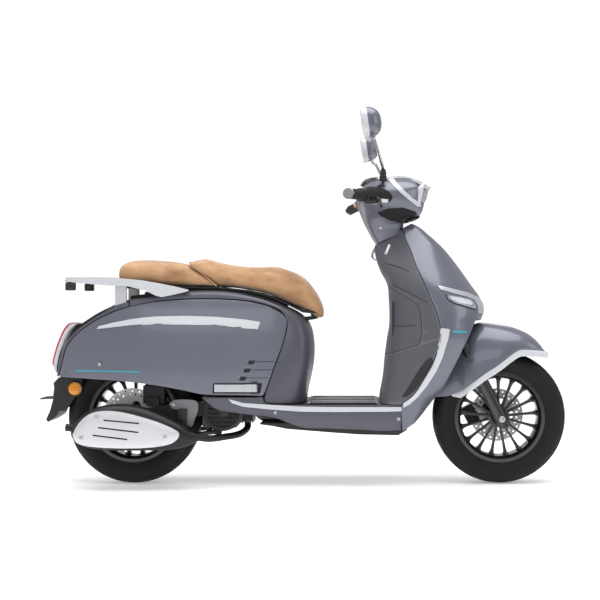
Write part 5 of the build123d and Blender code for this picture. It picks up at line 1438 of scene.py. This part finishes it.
def puff(obj, floor_fn, cap=0.006):
    """Cloth under light pressure, pinned at the underside, with a limit on how far it moves."""
    voxel = 0.006
    mod = obj.modifiers.new("remesh", "REMESH")
    mod.mode = "VOXEL"
    mod.voxel_size = voxel
    bake(obj)
    rest = np.array([v.co[:] for v in obj.data.vertices])
    pins = obj.vertex_groups.new(name="pin")
    low = [i for i, c in enumerate(rest) if c[2] < floor_fn(c[0] / MM) * MM + PIN_HEIGHT]
    pins.add(low, 1.0, "REPLACE")
    cloth = obj.modifiers.new("cloth", "CLOTH")
    st = cloth.settings
    st.vertex_group_mass = "pin"
    st.quality = 4
    st.mass = 0.4
    st.use_pressure = True
    st.uniform_pressure_force = 4.0
    st.tension_stiffness = 30
    st.compression_stiffness = 12
    st.shear_stiffness = 10
    st.bending_stiffness = 0.6
    st.effector_weights.gravity = 0.0
    cloth.collision_settings.use_collision = False
    cloth.point_cache.frame_start = 1
    cloth.point_cache.frame_end = CLOTH_FRAMES
    for f in range(1, CLOTH_FRAMES + 1):
        bpy.context.scene.frame_set(f)
    bake(obj)
    bpy.context.scene.frame_set(1)
    now = np.array([v.co[:] for v in obj.data.vertices])
    if now.shape == rest.shape:
        move = now - rest
        size = np.linalg.norm(move, axis=1)
        scale = np.where(size > cap, cap / np.maximum(size, 1e-9), 1.0)
        now = rest + move * scale[:, None]
        obj.data.vertices.foreach_set("co", now.astype(np.float32).ravel())
        obj.data.update()
    obj.vertex_groups.clear()
    soft = obj.modifiers.new("even", "SMOOTH")
    soft.factor = 0.5
    soft.iterations = 6
    fine = obj.modifiers.new("fine", "SUBSURF")
    fine.levels = 1
    fine.render_levels = 1
    return bake(obj)


def under(stations):
    """Height of a cushion's underside as a function of X."""
    xs = [s[0] for s in stations]
    lows = [s[2] for s in stations]
    return lambda x: float(np.interp(x, xs, lows))


rear_seat = puff(cushion_base("seat_rear", REAR_SEAT), under(REAR_SEAT))
front_seat = puff(cushion_base("seat_front", FRONT_SEAT), under(FRONT_SEAT))
for pad, nodes in ((rear_seat, ("seat_cushion",)), (front_seat, ())):
    place(pad, "seat", "seat", *nodes, angle=80)

# piping on the slanted seam and stitches on both sides of it
SEAM_RUN = 103
pipe_pts = []
for t in np.linspace(-1.0, 1.0, 41):
    drop = abs(t) ** 5
    pipe_pts.append((-401 + SEAM_RUN * drop, 121 * signed_power(t, 0.8), 786 - 84 * drop))
place(tube("seat_piping", pipe_pts, 3.2, sides=10), "thread", "seat")
seat_trees = (tree_of(rear_seat), tree_of(front_seat))
threads = []
for off in (-9, 9):
    for t in np.linspace(-0.82, 0.82, 46):
        x = -399 + off + SEAM_RUN * abs(t) ** 5
        y = 119 * signed_power(t, 0.8)
        best = None
        for tree in seat_trees:
            hit, _, _, _ = tree.ray_cast(Vector((x * MM, y * MM, 1.2)), Vector((0, 0, -1)))
            if hit is not None and (best is None or hit.z > best.z):
                best = hit
        if best is not None:
            h = best / MM
            loop = [(h.x, h.y - 2.2, h.z + 0.1), (h.x, h.y, h.z + 0.8), (h.x, h.y + 2.2, h.z + 0.1)]
            threads.append(tube("stitch", loop, 0.6, sides=6))
if threads:
    place(join("seat_stitches", threads), "thread", "seat")

# ---------------------------------------------------------------- left-over CAD nodes
for obj in NODES.values():
    finish = obj.data.materials[0] if obj.data.materials else None
    if finish not in M.values():
        obj.data.materials.clear()
        obj.data.materials.append(M["plastic"])

# ---------------------------------------------------------------- stage, light and camera
FLOOR_HALF = 3000
floor_obj = mesh_object("floor", [
    (-FLOOR_HALF, -FLOOR_HALF, 0), (FLOOR_HALF, -FLOOR_HALF, 0),
    (FLOOR_HALF, FLOOR_HALF, 0), (-FLOOR_HALF, FLOOR_HALF, 0),
], [(0, 1, 2, 3)])
stage = material("stage", (250, 250, 250), 0.7, vary=0.005, specular=0.2, glow=0.32)
floor_obj.data.materials.append(stage)

world = bpy.data.worlds.new("studio")
bpy.context.scene.world = world
world.use_nodes = True
wn = world.node_tree
background = wn.nodes["Background"]
background.inputs["Color"].default_value = (1, 1, 1, 1)
path = wn.nodes.new("ShaderNodeLightPath")
level = wn.nodes.new("ShaderNodeMapRange")
level.inputs["To Min"].default_value = 0.44
level.inputs["To Max"].default_value = 1.1
wn.links.new(path.outputs["Is Camera Ray"], level.inputs["Value"])
wn.links.new(level.outputs["Result"], background.inputs["Strength"])


def softbox(name, at, aim, size, power):
    """Rectangular area light aimed at a point."""
    light = bpy.data.lights.new(name, "AREA")
    light.shape = "RECTANGLE"
    light.size, light.size_y = size
    light.energy = power
    obj = bpy.data.objects.new(name, light)
    obj.location = at
    obj.rotation_euler = (Vector(aim) - Vector(at)).to_track_quat("-Z", "Y").to_euler()
    bpy.context.scene.collection.objects.link(obj)


softbox("top", (0, -0.4, 3.6), (0, 0, 0.4), (5.0, 3.0), 165)
softbox("near", (-0.5, -4.6, 2.2), (0, 0, 0.5), (3.5, 1.6), 24)
softbox("front", (4.2, -1.2, 1.8), (0.3, 0, 0.6), (1.6, 2.4), 26)
softbox("rear", (-4.2, -0.8, 1.8), (-0.4, 0, 0.6), (1.6, 2.4), 22)
softbox("far", (0, 4.2, 2.4), (0, 0, 0.6), (3.5, 1.6), 30)

# the camera looks along +Y from CAMERA_DISTANCE; the shift puts the vehicle in the middle
CAMERA_X, CAMERA_HEIGHT, CAMERA_DISTANCE = 0.2, 0.653, 4.1
scene = bpy.context.scene
scene.view_settings.view_transform = "Standard"
scene.view_settings.look = "None"
camera = bpy.data.cameras.new("camera")
camera.lens = 68.5
camera.sensor_width = 36.0
camera_obj = bpy.data.objects.new("camera", camera)
camera.shift_x = -0.099
camera_obj.location = (CAMERA_X, -CAMERA_DISTANCE, CAMERA_HEIGHT)
camera_obj.rotation_euler = (math.radians(90), 0, 0)
scene.collection.objects.link(camera_obj)
scene.camera = camera_obj
